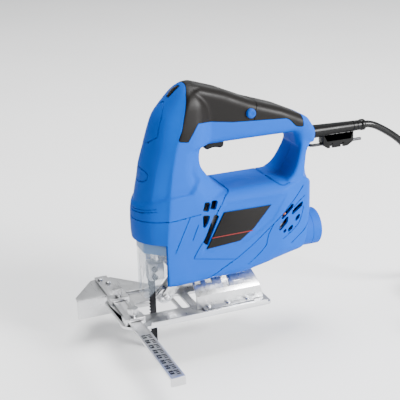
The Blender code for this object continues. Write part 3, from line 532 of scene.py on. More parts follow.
# Metals: name, two colours, roughness, and where they differ the stretch of the lines and their depth.
METALS = {
    "zinc": ("zinc_plate", (0.66, 0.665, 0.675), (0.57, 0.575, 0.585), 0.3, (1, 0.15, 1), 0.2),
    "polished": ("polished_steel", (0.75, 0.76, 0.78), (0.62, 0.63, 0.66), 0.2),
    "bar": ("worn_bar", (0.66, 0.66, 0.67), (0.5, 0.5, 0.51), 0.34, (1, 0.1, 1), 0.15),
    "blade": ("blade_steel", (0.03, 0.03, 0.033), (0.012, 0.012, 0.013), 0.4, (1, 1, 0.1)),
    "dark_steel": ("blackened_steel", (0.06, 0.06, 0.065), (0.03, 0.03, 0.033), 0.36),
    "copper": ("copper_winding", (0.2, 0.075, 0.035), (0.14, 0.05, 0.025), 0.35, (0.1, 1, 1), 0.8),
    "iron": ("iron_laminations", (0.33, 0.33, 0.34), (0.22, 0.22, 0.23), 0.5, (6, 0.05, 0.05), 0.8),
    "bronze": ("sintered_bronze", (0.6, 0.42, 0.2), (0.45, 0.3, 0.14), 0.42),
    # The gear plate's alloy is made far darker than cast alloy as painted shade, for the dark inside seen
    # through the air slots.
    "alloy": ("cast_alloy", (0.1, 0.1, 0.105), (0.07, 0.07, 0.074), 0.5, (1, 1, 1), 0.9),
}
# Clear plastics: name, tint, roughness and how much they hide.
CLEARS = {
    "guard": ("clear_guard", (0.5, 0.58, 0.68), 0.08, 0.26),
    # The second entry is a painted reflection: a nearly opaque blue shell that stands in for the housing's
    # bluish reflection in the clear guard.
    "guard_painted_reflection": ("guard_painted_reflection", (0.08, 0.19, 0.38), 0.12, 0.9),
}


LOOKS = {}


def make_looks():
    for maker, table in ((plastic, PLASTICS), (metal, METALS), (clear, CLEARS)):
        LOOKS.update({key: maker(*values) for key, values in table.items()})


# ---- forms of the housing

# Nose sections: height, half width, x of the crease, of the front and of the rear, rear half width.
NOSE = [
    (30, 25.5, 27, 40, -20, 22), (36, 31, 29.5, 43, -24, 28), (56, 31, 30.3, 46.5, -24, 28),
    (76, 31, 29.3, 49.5, -26, 28), (97, 31, 27, 49.2, -32, 27), (108, 31, 26, 46.8, -30, 23),
    (117, 31, 25.2, 44.8, -20.5, 21.5), (127, 30.6, 23.6, 42.6, -12.5, 21.5),
    (136, 30, 22, 40.6, -8, 21.5), (149, 28.5, 18.8, 36, -10, 19), (153, 28, 17.6, 34.6, -20, 17),
    (166, 26.5, 12.8, 30.8, -22, 16.5), (178, 24.5, 8.8, 26, -22, 16), (188, 22.5, 5, 17, -20, 15),
    (196, 18.5, 1.5, 8.5, -14, 12), (201, 12.5, -2.5, 2, -11, 8), (203.5, 6, -5, -3, -9, 4),
]
# The nose from above, between its rear, crease and front: where its side swells and is widest, how its
# edges are rounded, and points of the front as shares of the way forward and of the half width.
REAR_FLAT = 0.7
REAR_ROUND = 1.5
SHOULDER_AT = 0.42
SHOULDER_DROP = 1.2
WIDEST_AT = 0.45
CREASE_FRONT = (0.3, 1.4)
FRONT_POINTS = [(0.55, 0.7), (0.88, 0.38)]
# An inner nose has its crease a little farther out, and ends below the narrow top sections.
CREASE_SHARE = 0.75
INNER_NOSE_TOP = 190
# The body from the side and from above, and below them the grip from the side: the places of the
# corners and the radius of each corner's arc.
BODY_SIDE = [
    (22, BODY_BOTTOM, 0), (-44, BODY_BOTTOM, 30), (-72, 36, 30), (-104, 40.5, 13),
    (-109.5, 56, 14), (-112, 73, 7), (-119, 84, 9), (-118.5, 95, 11),
    (-112, BODY_TOP, 13), (22, BODY_TOP, 0),
]
BODY_PLAN = [
    (40, -BODY_HALF, 0), (40, BODY_HALF, 0), (-80, BODY_HALF, 40),
    (-112, 22, 14), (-119, 8, 8), (-119, -8, 8), (-112, -22, 14),
    (-80, -BODY_HALF, 40),
]
# Belly sections, rearwards: x, the height where the side turns in, half width and height of the bottom.
BELLY = [
    (45, 38, 23, 29.4), (-44, 39, 22, 29.4), (-75, 53, 18, 35.8),
    (-104, 66, 14, 40), (-125, 71, 12, 42),
]
BELLY_OVER = 0.3
BELLY_SHARE = 0.4
EDGE_SHARE = 0.8
GRIP_SIDE = [
    (4, GRIP_UNDER, 0), (4, 196, 0), (-8, 203, 11), (-33, 195, 40),
    (-58, 184, 60), (-88, 174, 40), (-114, 162, 11), (-122, 149, 11),
    (-120.5, 138, 0), (-102.5, 138, 0), (-101, GRIP_UNDER, 4),
]
# Rear post sections: height, x of the rear and of the front, half width.
POST = [
    (88, -116.5, -78, 28), (98, -117.5, -80, 28), (107, -114, -84, 27),
    (113, -112.8, -92.5, 25.5), (120, -112.8, -97.5, 24), (128, -113.6, -101, 22),
    (134, -115.6, -103.2, 20.4), (140, -120.6, -104.2, 19), (150, -121.4, -104.6, 17.6),
]
POST_MIDDLE_AT = 0.36
POST_MIDDLE_SHARE = 0.86
POST_REAR_SHARE = 0.4
POST_ROUND = 3


def nose_solid(inset, each, steps):
    """The nose from its sections, smoothed upwards and round the front."""
    sections = []
    for level in smooth_line(NOSE, each):
        z, half, crease, front, rear, rear_half = level
        if z > INNER_NOSE_TOP and inset > 0:
            continue
        half -= inset
        crease -= inset * CREASE_SHARE
        front -= inset
        rear += inset
        rear_half = max(1, rear_half - inset)
        shoulder = rear + (crease - rear) * SHOULDER_AT
        side = [(rear, rear_half * REAR_FLAT), (rear + REAR_ROUND, rear_half),
                (shoulder, half - SHOULDER_DROP),
                (shoulder + (crease - shoulder) * WIDEST_AT, half), (crease - REAR_ROUND, half)]
        face = [(crease + CREASE_FRONT[0], half - CREASE_FRONT[1])]
        face += [(crease + (front - crease) * way, half * share) for way, share in FRONT_POINTS]
        face.append((front, 0))
        mirror = [(x, -y) for x, y in reversed(face[:-1])]
        across = smooth_line(face + mirror, steps) if steps > 1 else face + mirror
        near = smooth_line(side, 2) if steps > 1 else side
        far = [(x, -y) for x, y in reversed(near)]
        z = min(max(z, NOSE[0][0] + inset), NOSE[-1][0])
        sections.append([(x, y, z) for x, y in near + across + far])
    return loft(sections)


def belly_solid(inset, steps):
    """A block over the body's underside, whose lower edges turn in along a quarter of an ellipse."""
    side = BODY_HALF + BELLY_OVER - inset
    sections = []
    for x, start, half, bottom in smooth_line(BELLY, 4):
        start += inset * BELLY_SHARE
        bottom += inset
        half -= inset * BELLY_SHARE
        right = [(side, ABOVE_BODY)]
        for step in range(steps + 1):
            angle = math.pi / 2 * step / steps
            right.append((half + (side - half) * math.cos(angle),
                          start - (start - bottom) * math.sin(angle)))
        left = [(-y, z) for y, z in reversed(right)]
        sections.append([(x, y, z) for y, z in right + left])
    return loft(sections)


def body_solid(inset, steps):
    side = inset_outline(filleted(BODY_SIDE, steps), inset)
    plan = inset_outline(filleted(BODY_PLAN, steps), inset)
    half = BODY_HALF - inset
    block = prism(side, "y", -half, half, BODY_EDGE - inset * EDGE_SHARE, steps)
    return common(block, prism(plan, "z", 0, ABOVE_BODY), belly_solid(inset, steps + 2))


def grip_solid(inset, steps):
    side = inset_outline(filleted(GRIP_SIDE, steps), inset)
    half = GRIP_HALF - inset
    return prism(side, "y", -half, half, GRIP_EDGE - inset * EDGE_SHARE, steps)


def post_solid(inset, each):
    sections = []
    for z, rear, front, half in smooth_line(POST, each):
        rear += inset
        front -= inset
        half -= inset
        middle = rear + (front - rear) * POST_MIDDLE_AT
        near = [(rear, half * POST_REAR_SHARE), (middle, half * POST_MIDDLE_SHARE), (front, half)]
        corners = [(x, -y, POST_ROUND) for x, y in near] + [(x, y, POST_ROUND) for x, y in near[::-1]]
        sections.append([(x, y, z) for x, y in filleted(corners, 3)])
    return loft(sections)


# ---- dips in the skin

# Broad dips in the sides, as x and z of their edges. The upper nose has a slanted rear edge, and a
# plain ledge below; a shallow field lies round the name plate.
NOSE_LEDGE = [(3.2, 112.9), (15.8, 112.7), (26.7, 111.6), (37.4, 108), (44.5, 104.6), (50, 102.6),
              (70, 100.2)]
NOSE_REAR = [(3.2, 112.9), (-5.4, 123.8), (-2.2, 132), (-8, 160)]
NOSE_DIP = NOSE_LEDGE + [(70, 160)] + NOSE_REAR[::-1]
PLATE_FIELD = [(-27, 100.8), (-86, 100.2), (-71.5, 78), (-54.5, 66.8), (-42, 61), (-2.5, 57.9),
               (-9, 74), (-20.6, 97)]
# Depths, and the widths of the slants at the rear edge and at the ledge and the field's edge.
NOSE_DEEP = 2.9
FIELD_DEEP = 0.9
NOSE_SLANT = 3.4
LEDGE_SLANT = 1
# The nose's dip lies above and in front of these places and fades out towards the top.
NOSE_DIP_LOW = 100
NOSE_DIP_BACK = -10
FADE_END = 154
FADE_RUN = 30
# It's shallower across the front than on the sides, and the plate's field keeps off the middle.
FRONT_SHARE = 0.4
FRONT_HALF = 16
FRONT_RUN = 12
FIELD_OFF = 5


def is_inside(spot, outline):
    count = 0
    for (x0, y0), (x1, y1) in zip(outline, outline[1:] + outline[:1]):
        if (y0 > spot.y) != (y1 > spot.y):
            count += spot.x < x0 + (x1 - x0) * (spot.y - y0) / (y1 - y0)
    return count % 2 == 1


def line_distance(spot, line):
    """The distance from a point to the nearest part of an open line."""
    nearest = 1e9
    for first, second in zip(line[:-1], line[1:]):
        start = Vector(first)
        run = Vector(second) - start
        part = min(1, max(0, (spot - start).dot(run) / run.length_squared))
        nearest = min(nearest, (spot - start - run * part).length)
    return nearest


def nose_dip(at, spot):
    """The depth of the upper nose's dip at a place, whose x and z are the spot."""
    if not is_inside(spot, NOSE_DIP):
        return 0
    fade = min(1, max(0, (FADE_END - at.z) / FADE_RUN))
    rear = min(1, line_distance(spot, NOSE_REAR) / NOSE_SLANT)
    ledge = min(1, line_distance(spot, NOSE_LEDGE) / LEDGE_SLANT)
    front = min(1, max(FRONT_SHARE, (abs(at.y) - FRONT_HALF) / FRONT_RUN))
    return NOSE_DEEP * front * fade * min(rear, ledge)


def side_dip(at):
    """How far the skin lies back at a place."""
    spot = Vector((at.x, at.z))
    if at.z > NOSE_DIP_LOW and at.x > NOSE_DIP_BACK:
        return nose_dip(at, spot)
    if abs(at.y) > FIELD_OFF and is_inside(spot, PLATE_FIELD):
        return FIELD_DEEP * min(1, line_distance(spot, PLATE_FIELD + PLATE_FIELD[:1]) / LEDGE_SLANT)
    return 0


def outer_form():
    """The whole moulded outside, grip included, melted together with soft transitions."""
    form = join(nose_solid(0, 3, 4), body_solid(0, 6), grip_solid(0, 7), post_solid(0, 2))
    return melted(shrunk(melted(form, MELT_ROUNDS), side_dip), MELT_ROUNDS)


def inner_form():
    """The hollow inside, one wall in, and deeper behind the nose's dip and under the grip's cover."""
    deep = SKIN + GAP + WALL
    levels = [(WALL, 20, 100), (WALL + NOSE_DEEP - 1, 98, 151), (deep, 150, 230)]
    nose = [common(nose_solid(inset, 1, 1), box((-60, -ACROSS, low), (60, ACROSS, high)))
            for inset, low, high in levels]
    return join(body_solid(WALL, 3), *nose, grip_solid(deep, 2), post_solid(WALL, 1))


# ---- housing

# Corners of the name plate and of the air slots, x and z.
LABEL = [(-24.4, 92.8), (-69, 92.4), (-52.6, 74.1), (-39, 64.2), (-7.4, 61.8)]
FRONT_SLOTS = [
    [(-5, 97.3), (-9.2, 96.6), (-11.7, 103.2), (-7.5, 103.9)],
    [(-11.6, 98.1), (-15.8, 97.4), (-18.4, 103.9), (-14.1, 104.2)],
    [(-5, 92.8), (-10.5, 91.8), (-8.6, 86), (-5, 81)],
    [(-15.2, 92), (-19.2, 90), (-8, 65.4), (-4.9, 68.7)],
]
REAR_SLOTS = [
    [(-79, 76.4), (-80.6, 80.6), (-92.9, 89.6), (-91.4, 85.4)],
    [(-90.6, 78.4), (-92.4, 82.6), (-103.8, 88.6), (-102, 84.4)],
    [(-76.8, 66.2), (-78.2, 72.2), (-86.6, 79), (-85.2, 73)],
    [(-94.3, 70.8), (-96.2, 74.9), (-100.7, 78), (-98.9, 73.9)],
    [(-85.8, 62.9), (-87.6, 66.6), (-92.4, 69.3), (-90.7, 65.6)],
    [(-80.6, 63.2), (-81.8, 65.8), (-84.8, 67.6), (-83.7, 65)],
]
SLOT_ROUND = 0.7
SLOT_GROW = 0.6
SLOT_DEPTH = 14
# The grip's soft cover, x and z and the radius of the corner's arc, and the seam drawn across it.
GRIP_AREA = [
    (-5, 215, 0), (-2, 203, 0), (2, 196, 0), (9.8, 169, 0), (14, 160, 1.5),
    (5.3, 158.5, 1.5), (-5.1, 173.1, 2), (-39.5, 168, 20), (-92, 164.8, 8),
    (-100, 156.5, 4), (-107, 155, 1.5), (-107, 215, 0),
]
GRIP_SEAM = [(-63.5, 200), (-63.5, 181.8), (-61.1, 175.9), (-58.5, 160)]
# Grooves drawn on the side, x and z, with their widths.
SIDE_LINES = [
    ([(-33, 116), (-32, 110), (-25.8, 105.6), (-18, 94), (-10.1, 78), (0.7, 62.9),
      (5.2, 55.1)], 1.1),
    ([(5.2, 55.1), (-15, 51.3), (-34.4, 47.6)], 0.8),
    ([(-4.1, 29), (-19.7, 39.8), (-34.4, 47.6), (-49.5, 57.5), (-62.5, 67.5), (-71.7, 74.8),
      (-77.5, 79.3), (-91.4, 90.8), (-98.1, 97), (-104, 103.5)], 0.9),
    ([(-93, 85.5), (-100, 90), (-106, 93.5)], 0.8),
    ([(-71.6, 74.6), (-66.8, 66.2), (-65.1, 60.1), (-63.4, 54.9), (-55.7, 47.5), (-46.5, 40.5)], 0.9),
    ([(-80.6, 58.1), (-88.6, 62.2), (-98.3, 68.4), (-103.2, 78.3), (-104, 84)], 0.8),
    ([(-90, 51.5), (-95.4, 54.7), (-105.3, 60.8), (-112.7, 69.3), (-117, 80)], 0.9),
    ([(60, 90.6), (36.1, 91.5), (27.8, 92.2), (21.5, 92.4), (5.6, 94), (-3, 94.6)], 0.9),
    ([(56, 99.6), (45.6, 101), (39, 102.4), (34.5, 103.2)], 0.65),
    ([(56, 97), (46, 98.6), (39.3, 100), (34.5, 100.8)], 0.65),
    ([(7, 94), (21.6, 63)], 0.8),
    ([(-0.2, 85.6), (5.6, 72)], 0.8),
    ([(-75, 112), (-81.5, 107.5), (-90, 108.5)], 0.8),
]
# Half outlines drawn on the nose's front, y and z: the top panel and a plain plate below it.
PANEL_EDGE = [(-1, 188.6), (2, 188), (7.2, 184.5), (11.4, 179), (12.6, 172), (14, 162.4)]
PANEL_LOWER = [(9.5, 159.2), (3.1, 155.8), (-1, 154.8)]
PLATE_EDGE = [(-1, 134.6), (8, 133.6), (13, 131.6), (13.6, 127.6), (10.6, 124.6), (-1, 122.4)]
FRONT_GROOVE = 0.85
GROOVE_DEPTH = 0.75
SEAM_WIDTH = 0.7
SEAM_DEPTH = 0.5


def side_grooves():
    cutters = []
    for points, width in SIDE_LINES:
        smooth = smooth_line(points, 6) if len(points) > 2 else points
        cutters.append(prism(ribbon(smooth, width), "y", 1, 60))
    return cutters


def front_grooves():
    panel = smooth_line(PANEL_EDGE, 5) + PANEL_LOWER
    plate = smooth_line(PLATE_EDGE, 5)
    return [prism(ribbon(line, FRONT_GROOVE), "x", 8, 70) for line in (panel, plate)]


def air_slots():
    cutters = []
    for corners in FRONT_SLOTS + REAR_SLOTS:
        outline = inset_outline(filleted([(x, z, SLOT_ROUND) for x, z in corners], 3), -SLOT_GROW)
        cutters.append(prism(outline, "y", BODY_HALF - SLOT_DEPTH, BODY_HALF + 4))
    return cutters


def left_side():
    """Everything left of the split between the two halves."""
    return box((-150, SPLIT, 0), (80, 60, 230))


def dial_hole():
    return cylinder("y", DIAL_CENTRE, DIAL_R + 0.5, -DIAL_HALF - 0.6, DIAL_HALF + 0.6, 48)


def button_hole():
    return cylinder("y", BUTTON, 4.5, 8, 26, 32)


def openings():
    mouth = box((12, -26.4, 10), (60, 26.4, 66))
    front = box((28.5, -ACROSS, 10), (60, ACROSS, 71))
    trigger = box((-38, -8, 140), (-16, 8, 157))
    rod = cylinder("z", (ROD_X, 0), 8.3, 60, 128, 24)
    port = cylinder("x", (0, PORT_Z), PORT_R + GAP, -125, PORT_ROOT + GAP, 48)
    relief = cylinder("x", (0, RELIEF_Z), 5.4, -130, -109, 24)
    return [mouth, front, trigger, dial_hole(), rod, port, relief]


def build_shells(shell, grooves):
    """The left half with the button's hole, and its mirror with the screws' pockets instead."""
    pocket = prism(inset_outline(LABEL, -GAP), "y", BODY_HALF - 1.2, BODY_HALF + 4)
    half = cut(common(shell, left_side()), pocket, *grooves, *air_slots())
    left = cut(half.copy(), button_hole())
    pockets = [cylinder("y", (x, z), 3.6, seat, ACROSS, 24) for x, z, seat in SCREWS]
    right = mirrored(cut(half, *pockets))
    for name, mesh, node in (("shell_left", left, "housing_left"), ("shell_right", right, "housing_right")):
        piece(name, mesh, "blue", "housing", node, sharp=30)


def build_covers(skin, under):
    """The grip's soft covers, from the outer skin of the grip down to the surface under them."""
    seam = prism(ribbon(GRIP_SEAM, SEAM_WIDTH), "y", 1, ACROSS)
    mark = common(cut(skin.copy(), shrunk(skin, SEAM_DEPTH)), seam)
    cover = cut(common(cut(skin, under, dial_hole()), left_side()), mark)
    left = cut(cover.copy(), button_hole())
    right = mirrored(cover)
    for name, mesh, node in (("grip_cover_left", left, "grip_left"),
                             ("grip_cover_right", right, "grip_right")):
        piece(name, mesh, "grip", "housing", node, sharp=30)


def build_housing():
    """Cuts the outer form into the shells and the grip's covers, with a narrow gap between them."""
    form = outer_form()
    area = filleted(GRIP_AREA)
    skin = common(form.copy(), prism(inset_outline(area, GAP * 0.5), "y", -ACROSS, ACROSS))
    under = shrunk(form, SKIN)
    layer = cut(form.copy(), shrunk(form, GROOVE_DEPTH))
    recess = cut(prism(inset_outline(area, -GAP * 0.7), "y", -ACROSS, ACROSS), shrunk(under, GAP))
    body = cut(form, recess)
    grooves = [common(layer.copy(), cutter) for cutter in side_grooves() + front_grooves()]
    layer.free()
    shell = cut(cut(body, inner_form()), *openings())
    build_shells(shell, grooves)
    build_covers(skin, under)


# ---- sole and bracket

BRACKET_SLOTS = [(-6.5, -1), (-17, -11)]
TICK_ANGLE = 15
RIVET_Y = 26.6
RIVET_HEAD = [(0, 4.5), (2.3, 4.5), (2.3, 5.1), (1.9, 5.7), (1.1, 6.1), (0, 6.2)]


def bracket_ticks():
    """Cutters for the tilt scale at the bracket's rear, longer at every third tick."""
    ticks = []
    for step in range(-3, 4):
        tick = box((-50, -0.25, 27.2), (-42 if step % 3 else -38, 0.25, 28.6))
        ticks.append(swung(tick, -math.radians(TICK_ANGLE * step), "X", (0, 0, BEVEL_Z)))
    return ticks


def build_sole():
    plate = eased(solid_of("sole_plate"), 0.4)
    piece("sole_pressing", plate, "zinc", "sole", "sole_plate")
    holes = [box((x0, low, 20), (x1, high, 34))
             for low, high in ((9, 17.5), (-17.5, -9)) for x0, x1 in BRACKET_SLOTS]
    bracket = cut(cut(solid_of("bevel_bracket"), *holes), *bracket_ticks())
    piece("bracket_pressing", eased(bracket, 0.3), "zinc", "sole", "bevel_bracket")
    heads = [turned(RIVET_HEAD, "z", (x, side * RIVET_Y), 20)
             for x in (-47, -28, -9) for side in (-1, 1)]
    piece("bracket_rivets", join(*heads), "polished", "sole", sharp=40)


# ---- edge guide

# The printed scale on the bar: its first mark, spacing, number of marks, and its two levels.
SCALE_FROM = 53
SCALE_STEP = 9.3
SCALE_COUNT = 8
SCALE_SIDE = 6
SCALE_LOW = 4.55
SCALE_HIGH = 4.66


def raised_numbers(numbers, size, places):
    """Thin raised numbers, turned to read along the bar."""
    whole = bmesh.new()
    for number, at in zip(numbers, places):
        text = bpy.data.curves.new("number", "FONT")
        text.body = str(number)
        text.size = size
        text.extrude = 0.03
        text.align_x = "CENTER"
        text.align_y = "CENTER"
        thing = linked("number", text)
        flat = evaluated(thing)
        flat.transform(Matrix.Translation(at) @ Matrix.Rotation(math.pi / 2, 4, "Z"))
        whole.from_mesh(flat)
        bpy.data.objects.remove(thing)
        bpy.data.curves.remove(text)
        bpy.data.meshes.remove(flat)
    return whole


def scale_mark(y):
    """A square that carries a number, with three strokes beside it."""
    corners = [(59.9, y, 0.3), (63.5, y, 0.3), (63.5, y + SCALE_SIDE, 0.3), (59.9, y + SCALE_SIDE, 0.3)]
    blocks = [prism(filleted(corners, 2), "z", SCALE_LOW, SCALE_HIGH)]
    for step in range(3):
        low = y + 0.5 + 2.6 * step
        blocks.append(box((55.4, low, SCALE_LOW), (58.2 if step else 59.5, low + 1.4, SCALE_HIGH)))
    return blocks


def build_scale():
    starts = [SCALE_FROM + SCALE_STEP * index for index in range(SCALE_COUNT)]
    marks = merged([block for y in starts for block in scale_mark(y)])
    piece("scale_marks", marks, "paint", "guide", sharp=40)
    spots = [(61.7, y + SCALE_SIDE / 2, SCALE_HIGH) for y in starts]
    numbers = raised_numbers(range(SCALE_COUNT, 0, -1), 4.6, spots)
    piece("scale_numbers", numbers, "zinc", "guide", sharp=30)


def build_guide():
    corners = [(55.2, -34, 1), (63.8, -34, 1), (63.8, 127.5, 1), (55.2, 127.5, 1)]
    channel = prism(filleted(corners, 3), "z", 4.6, 5.4)
    bar = eased(cut(solid_of("guide_bar"), channel), 0.25)
    piece("bar_finish", bar, "bar", "guide", "guide_bar")
    build_scale()
    eased_node("fence", "guide", "zinc", 0.4)
    for name in ("fence_rivet_1", "fence_rivet_2"):
        eased_node(name, "guide", "polished", 0.3)
    for name, side in (("guide_screw_left", 1), ("guide_screw_right", -1)):
        centre = (GUIDE_X, side * GUIDE_SCREW_Y)
        head = knurled(centre, 4.8, 11, 16, 26, 0.35)
        stem = cylinder("z", centre, 2.4, 5.3, 11.5, 24)
        slot = box((centre[0] - 6, centre[1] - 0.5, 14.9), (centre[0] + 6, centre[1] + 0.5, 17))
        piece(name + "_knob", cut(join(head, stem), slot), "zinc", name, name)


def build_bevel_screw():
    stem = turned([(0, 19), (4.4, 19), (5, 19.6), (5, 23.2), (7, 23.2), (7.4, 23.5), (7.4, 24.5),
                   (7, 24.8), (2.6, 24.8), (2.6, 36), (0, 36)], "z", BEVEL_SCREW, 40)
    socket = prism(hex_outline(BEVEL_SCREW, 4), "z", 15, 21.6)
    piece("bevel_screw_finish", cut(stem, socket), "polished", "bevel_screw",
          "bevel_screw")


# ---- blade group

# A painted bluish reflection of the housing on the guard's upper part, drawn as a blue shell: its heights,
# and how far it stands proud of the guard.
REFLECTION_LOW = 59.5
REFLECTION_HIGH = 70
REFLECTION_BACK = 35
REFLECTION_FORWARD = 1.012
REFLECTION_SIDEWAYS = 1.006


def build_blade_group():
    eased_node("blade_clamp", "plunger", "zinc", 0.5)
    eased_node("plunger", "plunger", "polished", 0.3)
    for name, z in (("blade_screw_lower", 34), ("blade_screw_upper", 41.5)):
        centre = (CLAMP_X, z)
        head = turned([(0, 6.8), (2.3, 6.8), (2.6, 7.1), (2.6, 9.5), (2.2, 9.9), (0, 9.9)], "y", centre, 32)
        socket = prism(hex_outline(centre, 2.5), "y", 8.1, 11)
        piece(name + "_finish", cut(head, socket), "dark_steel", "plunger", name)
    eased_node("roller", "roller", "polished", 0.35)
    eased_node("roller_arm", "housing", "zinc", 0.4)
    eased_node("roller_pin", "housing", "polished", 0.3)
    eased_node("guard", "guard", "guard", 0.45)
    # The painted reflection: the guard's upper part, grown a little and shown in the blue reflection look.
    reflection_shell = common(solid_of("guard"), box((20, -30, REFLECTION_LOW), (60, 30, REFLECTION_HIGH)))
    for vert in reflection_shell.verts:
        vert.co.x = REFLECTION_BACK + (vert.co.x - REFLECTION_BACK) * REFLECTION_FORWARD
        vert.co.y *= REFLECTION_SIDEWAYS
    piece("guard_upper_painted_reflection", eased(reflection_shell, 0.3), "guard_painted_reflection", "guard")


# ---- trim

DIAL_MARKS = 6
DIAL_MARK_STEP = 36
# The red line on the name plate, x and z of its corners.
PLATE_LINE = [(-12.2, 71), (-51, 71.4), (-51, 72.2), (-12.5, 71.8)]


def build_port():
    """The dust port's tube with one thin groove round it."""
    groove = PORT_R - 0.3
    profile = [(PORT_BORE, PORT_END), (PORT_R - 0.5, PORT_END), (PORT_R, PORT_END + 0.6), (PORT_R, -119.4),
               (groove, -119.1), (groove, -118.5), (PORT_R, -118.2), (PORT_R, PORT_ROOT),
               (PORT_BORE, PORT_ROOT)]
    port = turned(profile, "x", (0, PORT_Z), 72)
    piece("port_tube", port, "blue", "housing", "dust_port")


def build_labels():
    for name, side in (("label_left", 1), ("label_right", -1)):
        eased_node(name, "housing", "label", 0.25)
        near = prism(PLATE_LINE, "y", BODY_HALF, BODY_HALF + 0.25)
        strip = near if side > 0 else mirrored(near)
        piece(name + "_line", strip, "red", "housing", sharp=30)


def build_dial():
    wheel = knurled(DIAL_CENTRE, DIAL_R, -DIAL_HALF, DIAL_HALF, 40, 0.55, "y", 0.35)
    marks = []
    for index in range(DIAL_MARKS):
        mark = box((DIAL_R - 0.45, -1.6, -0.45), (DIAL_R - 0.02, 1.6, 0.45))
        angle = math.radians(20 + DIAL_MARK_STEP * index)
        marks.append(swung(mark, angle, "Y", (DIAL_CENTRE[0], 0, DIAL_CENTRE[1])))
    piece("dial_wheel", wheel, "black", "dial", "speed_dial")
    piece("dial_marks", join(*marks), "nylon", "dial")


def build_controls():
    cap = turned([(0, 8.2), (4.7, 8.2), (4.7, 9.8), (4.2, 9.8), (4.2, 19.6), (3.9, 20.4), (3.2, 20.9),
                  (2, 21), (1.2, 20.7), (0, 20.55)], "y", BUTTON, 48)
    piece("lock_button_cap", cap, "button", "button", "lock_button")
    eased_node("trigger", "trigger", "black", 0.9, 25, 3)


def build_housing_screws():
    """Cross-headed screws from the right, whose heads lie on their seats."""
    for index, (x, z, seat) in enumerate(SCREWS):
        under = -seat - GAP
        screw = turned([(0, under - 2.2), (2.6, under - 2.2), (3, under - 1.9), (3.2, under - 1.3),
                        (3.2, under), (1.4, under), (1.4, 12), (0, 12)], "y", (x, z), 28)
        cross = [box((x - across, under - 3, z - up), (x + across, under - 0.9, z + up))
                 for across, up in ((1.7, 0.45), (0.45, 1.7))]
        name = f"housing_screw_{index + 1}"
        piece(name + "_finish", cut(screw, *cross), "dark_steel", "housing", name)


# ---- strain relief and key clip

# Radius and x: the part inside the wall, the tapered sleeve, two grooves and the bead.
RELIEF = [
    (0, -111.5), (7, -111.5), (7, -114), (5, -114), (5, -124),
    (5.8, -124), (6.15, -124.4), (4.95, -165),
    (4.55, -165.3), (4.55, -166.3), (4.9, -166.6), (4.82, -169.4), (4.45, -169.7), (4.45, -170.7),
    (4.78, -171), (4.7, -174.2), (5.1, -174.8), (5.3, -175.6), (5.3, -177.8), (5, -178.6),
    (4.4, RELIEF_END), (0, RELIEF_END),
]
CLIP_SIDE = [
    (-166, 140.6, 1), (-134, 140.6, 1), (-134, 131, 3), (-139, 126.6, 5),
    (-160, 126.6, 6), (-166, 130.5, 3),
]
CLIP_RIBS = (-163, -158.4, -151, -147, -139.8)


def build_relief():
    sleeve = turned(RELIEF, "x", (0, RELIEF_Z), 48)
    piece("relief_sleeve", sleeve, "black", "housing", "strain_relief")


def build_key_clip():
    """The clip round the relief, open below for the key, with hollows between its side ribs."""
    clip = prism(filleted(CLIP_SIDE, 5), "y", -4.6, 4.6, 1, 3)
    cone = turned([(0, -120), (6.3, -120), (4.55, -176), (0, -176)], "x", (0, RELIEF_Z), 48)
    channel = box((-170, -1.85, 120), (-130, 1.85, 132.3))
    gaps = [box((x, -6, 120), (x + 3, 6, 131.2)) for x in (-144.5, -155.5)]
    hollows = [box((x, low, 133.4), (x + 1.2, high, 142))
               for low, high in ((3.4, 6), (-6, -3.4)) for x in CLIP_RIBS]
    piece("key_clip_finish", cut(clip, cone, channel, *gaps, *hollows), "black", "housing",
          "key_clip")
    eased_node("hex_key", "hex_key", "dark_steel", 0.2)


# ---- cord

RUN_ROUTE = [
    (RELIEF_END - 0.1, 0, 143.5), (-183.5, 0, 143.2), (-190, 0, 141.3), (-198, 0, 137.2),
    (-206, 0.1, 132.2), (-214, 0.3, 126.5), (-222, 0.7, 119.2), (-229.3, 1.2, 109.3),
    (-234.6, 2, 95), (-237.8, 2.8, 76), (-238.8, 2.4, 54), (-239.4, 0.5, 32),
    (-241.2, -3.5, 10), (-246, -9, -9), (-254.5, -14.5, -20.5), (-263, -17.6, -23.5),
]
TAIL_ROUTE = [
    (-287, 93.5, -35.7), (-275, 97.5, -34), (-263, 98, -29), (-256.5, 98, -27.1),
    (-250.6, 98, -27),
]
COIL_OUTER = 47.5
COIL_MIDDLE = 40.5
COIL_INNER = 33.5
COIL_LOW = -35.7
COIL_HIGH = -28.95
COIL_START = -66
COIL_END = 102 - 360 * 6
COIL_STEP = 20
# The first turn's start lies higher, where the free stretch comes down onto it.
COIL_LIFT = 2.2
# The coil's layers, inwards above and then outwards below: turns made at the start and at the end of
# each, radius and height.
COIL_LAYERS = [
    (0, 0.85, COIL_OUTER, COIL_HIGH), (1.1, 1.85, COIL_MIDDLE, COIL_HIGH),
    (2.1, 2.62, COIL_INNER, COIL_HIGH), (2.87, 3.4, COIL_INNER, COIL_LOW),
    (3.65, 4.4, COIL_MIDDLE, COIL_LOW), (4.65, 6, COIL_OUTER, COIL_LOW),
]


def coil_points():
    """The turns, clockwise from the end of the free stretch to the start of the tail."""
    stages = [(turns, *layer[2:]) for layer in COIL_LAYERS for turns in layer[:2]]
    points = []
    count = int((COIL_START - COIL_END) / COIL_STEP)
    for step in range(1, count):
        angle = COIL_START + (COIL_END - COIL_START) * step / count
        turns = (COIL_START - angle) / 360
        before = max(stage for stage in stages if stage[0] <= turns)
        after = min((stage for stage in stages if stage[0] > turns), default=before)
        part = (turns - before[0]) / max(after[0] - before[0], 1e-6)
        part = part * part * (3 - 2 * part)
        radius = before[1] + (after[1] - before[1]) * part
        z = before[2] + (after[2] - before[2]) * part
        if step == 1:
            z += COIL_LIFT
        spot = math.radians(angle)
        points.append((COIL_CENTRE[0] + radius * math.cos(spot),
                       COIL_CENTRE[1] + radius * math.sin(spot), z))
    return points


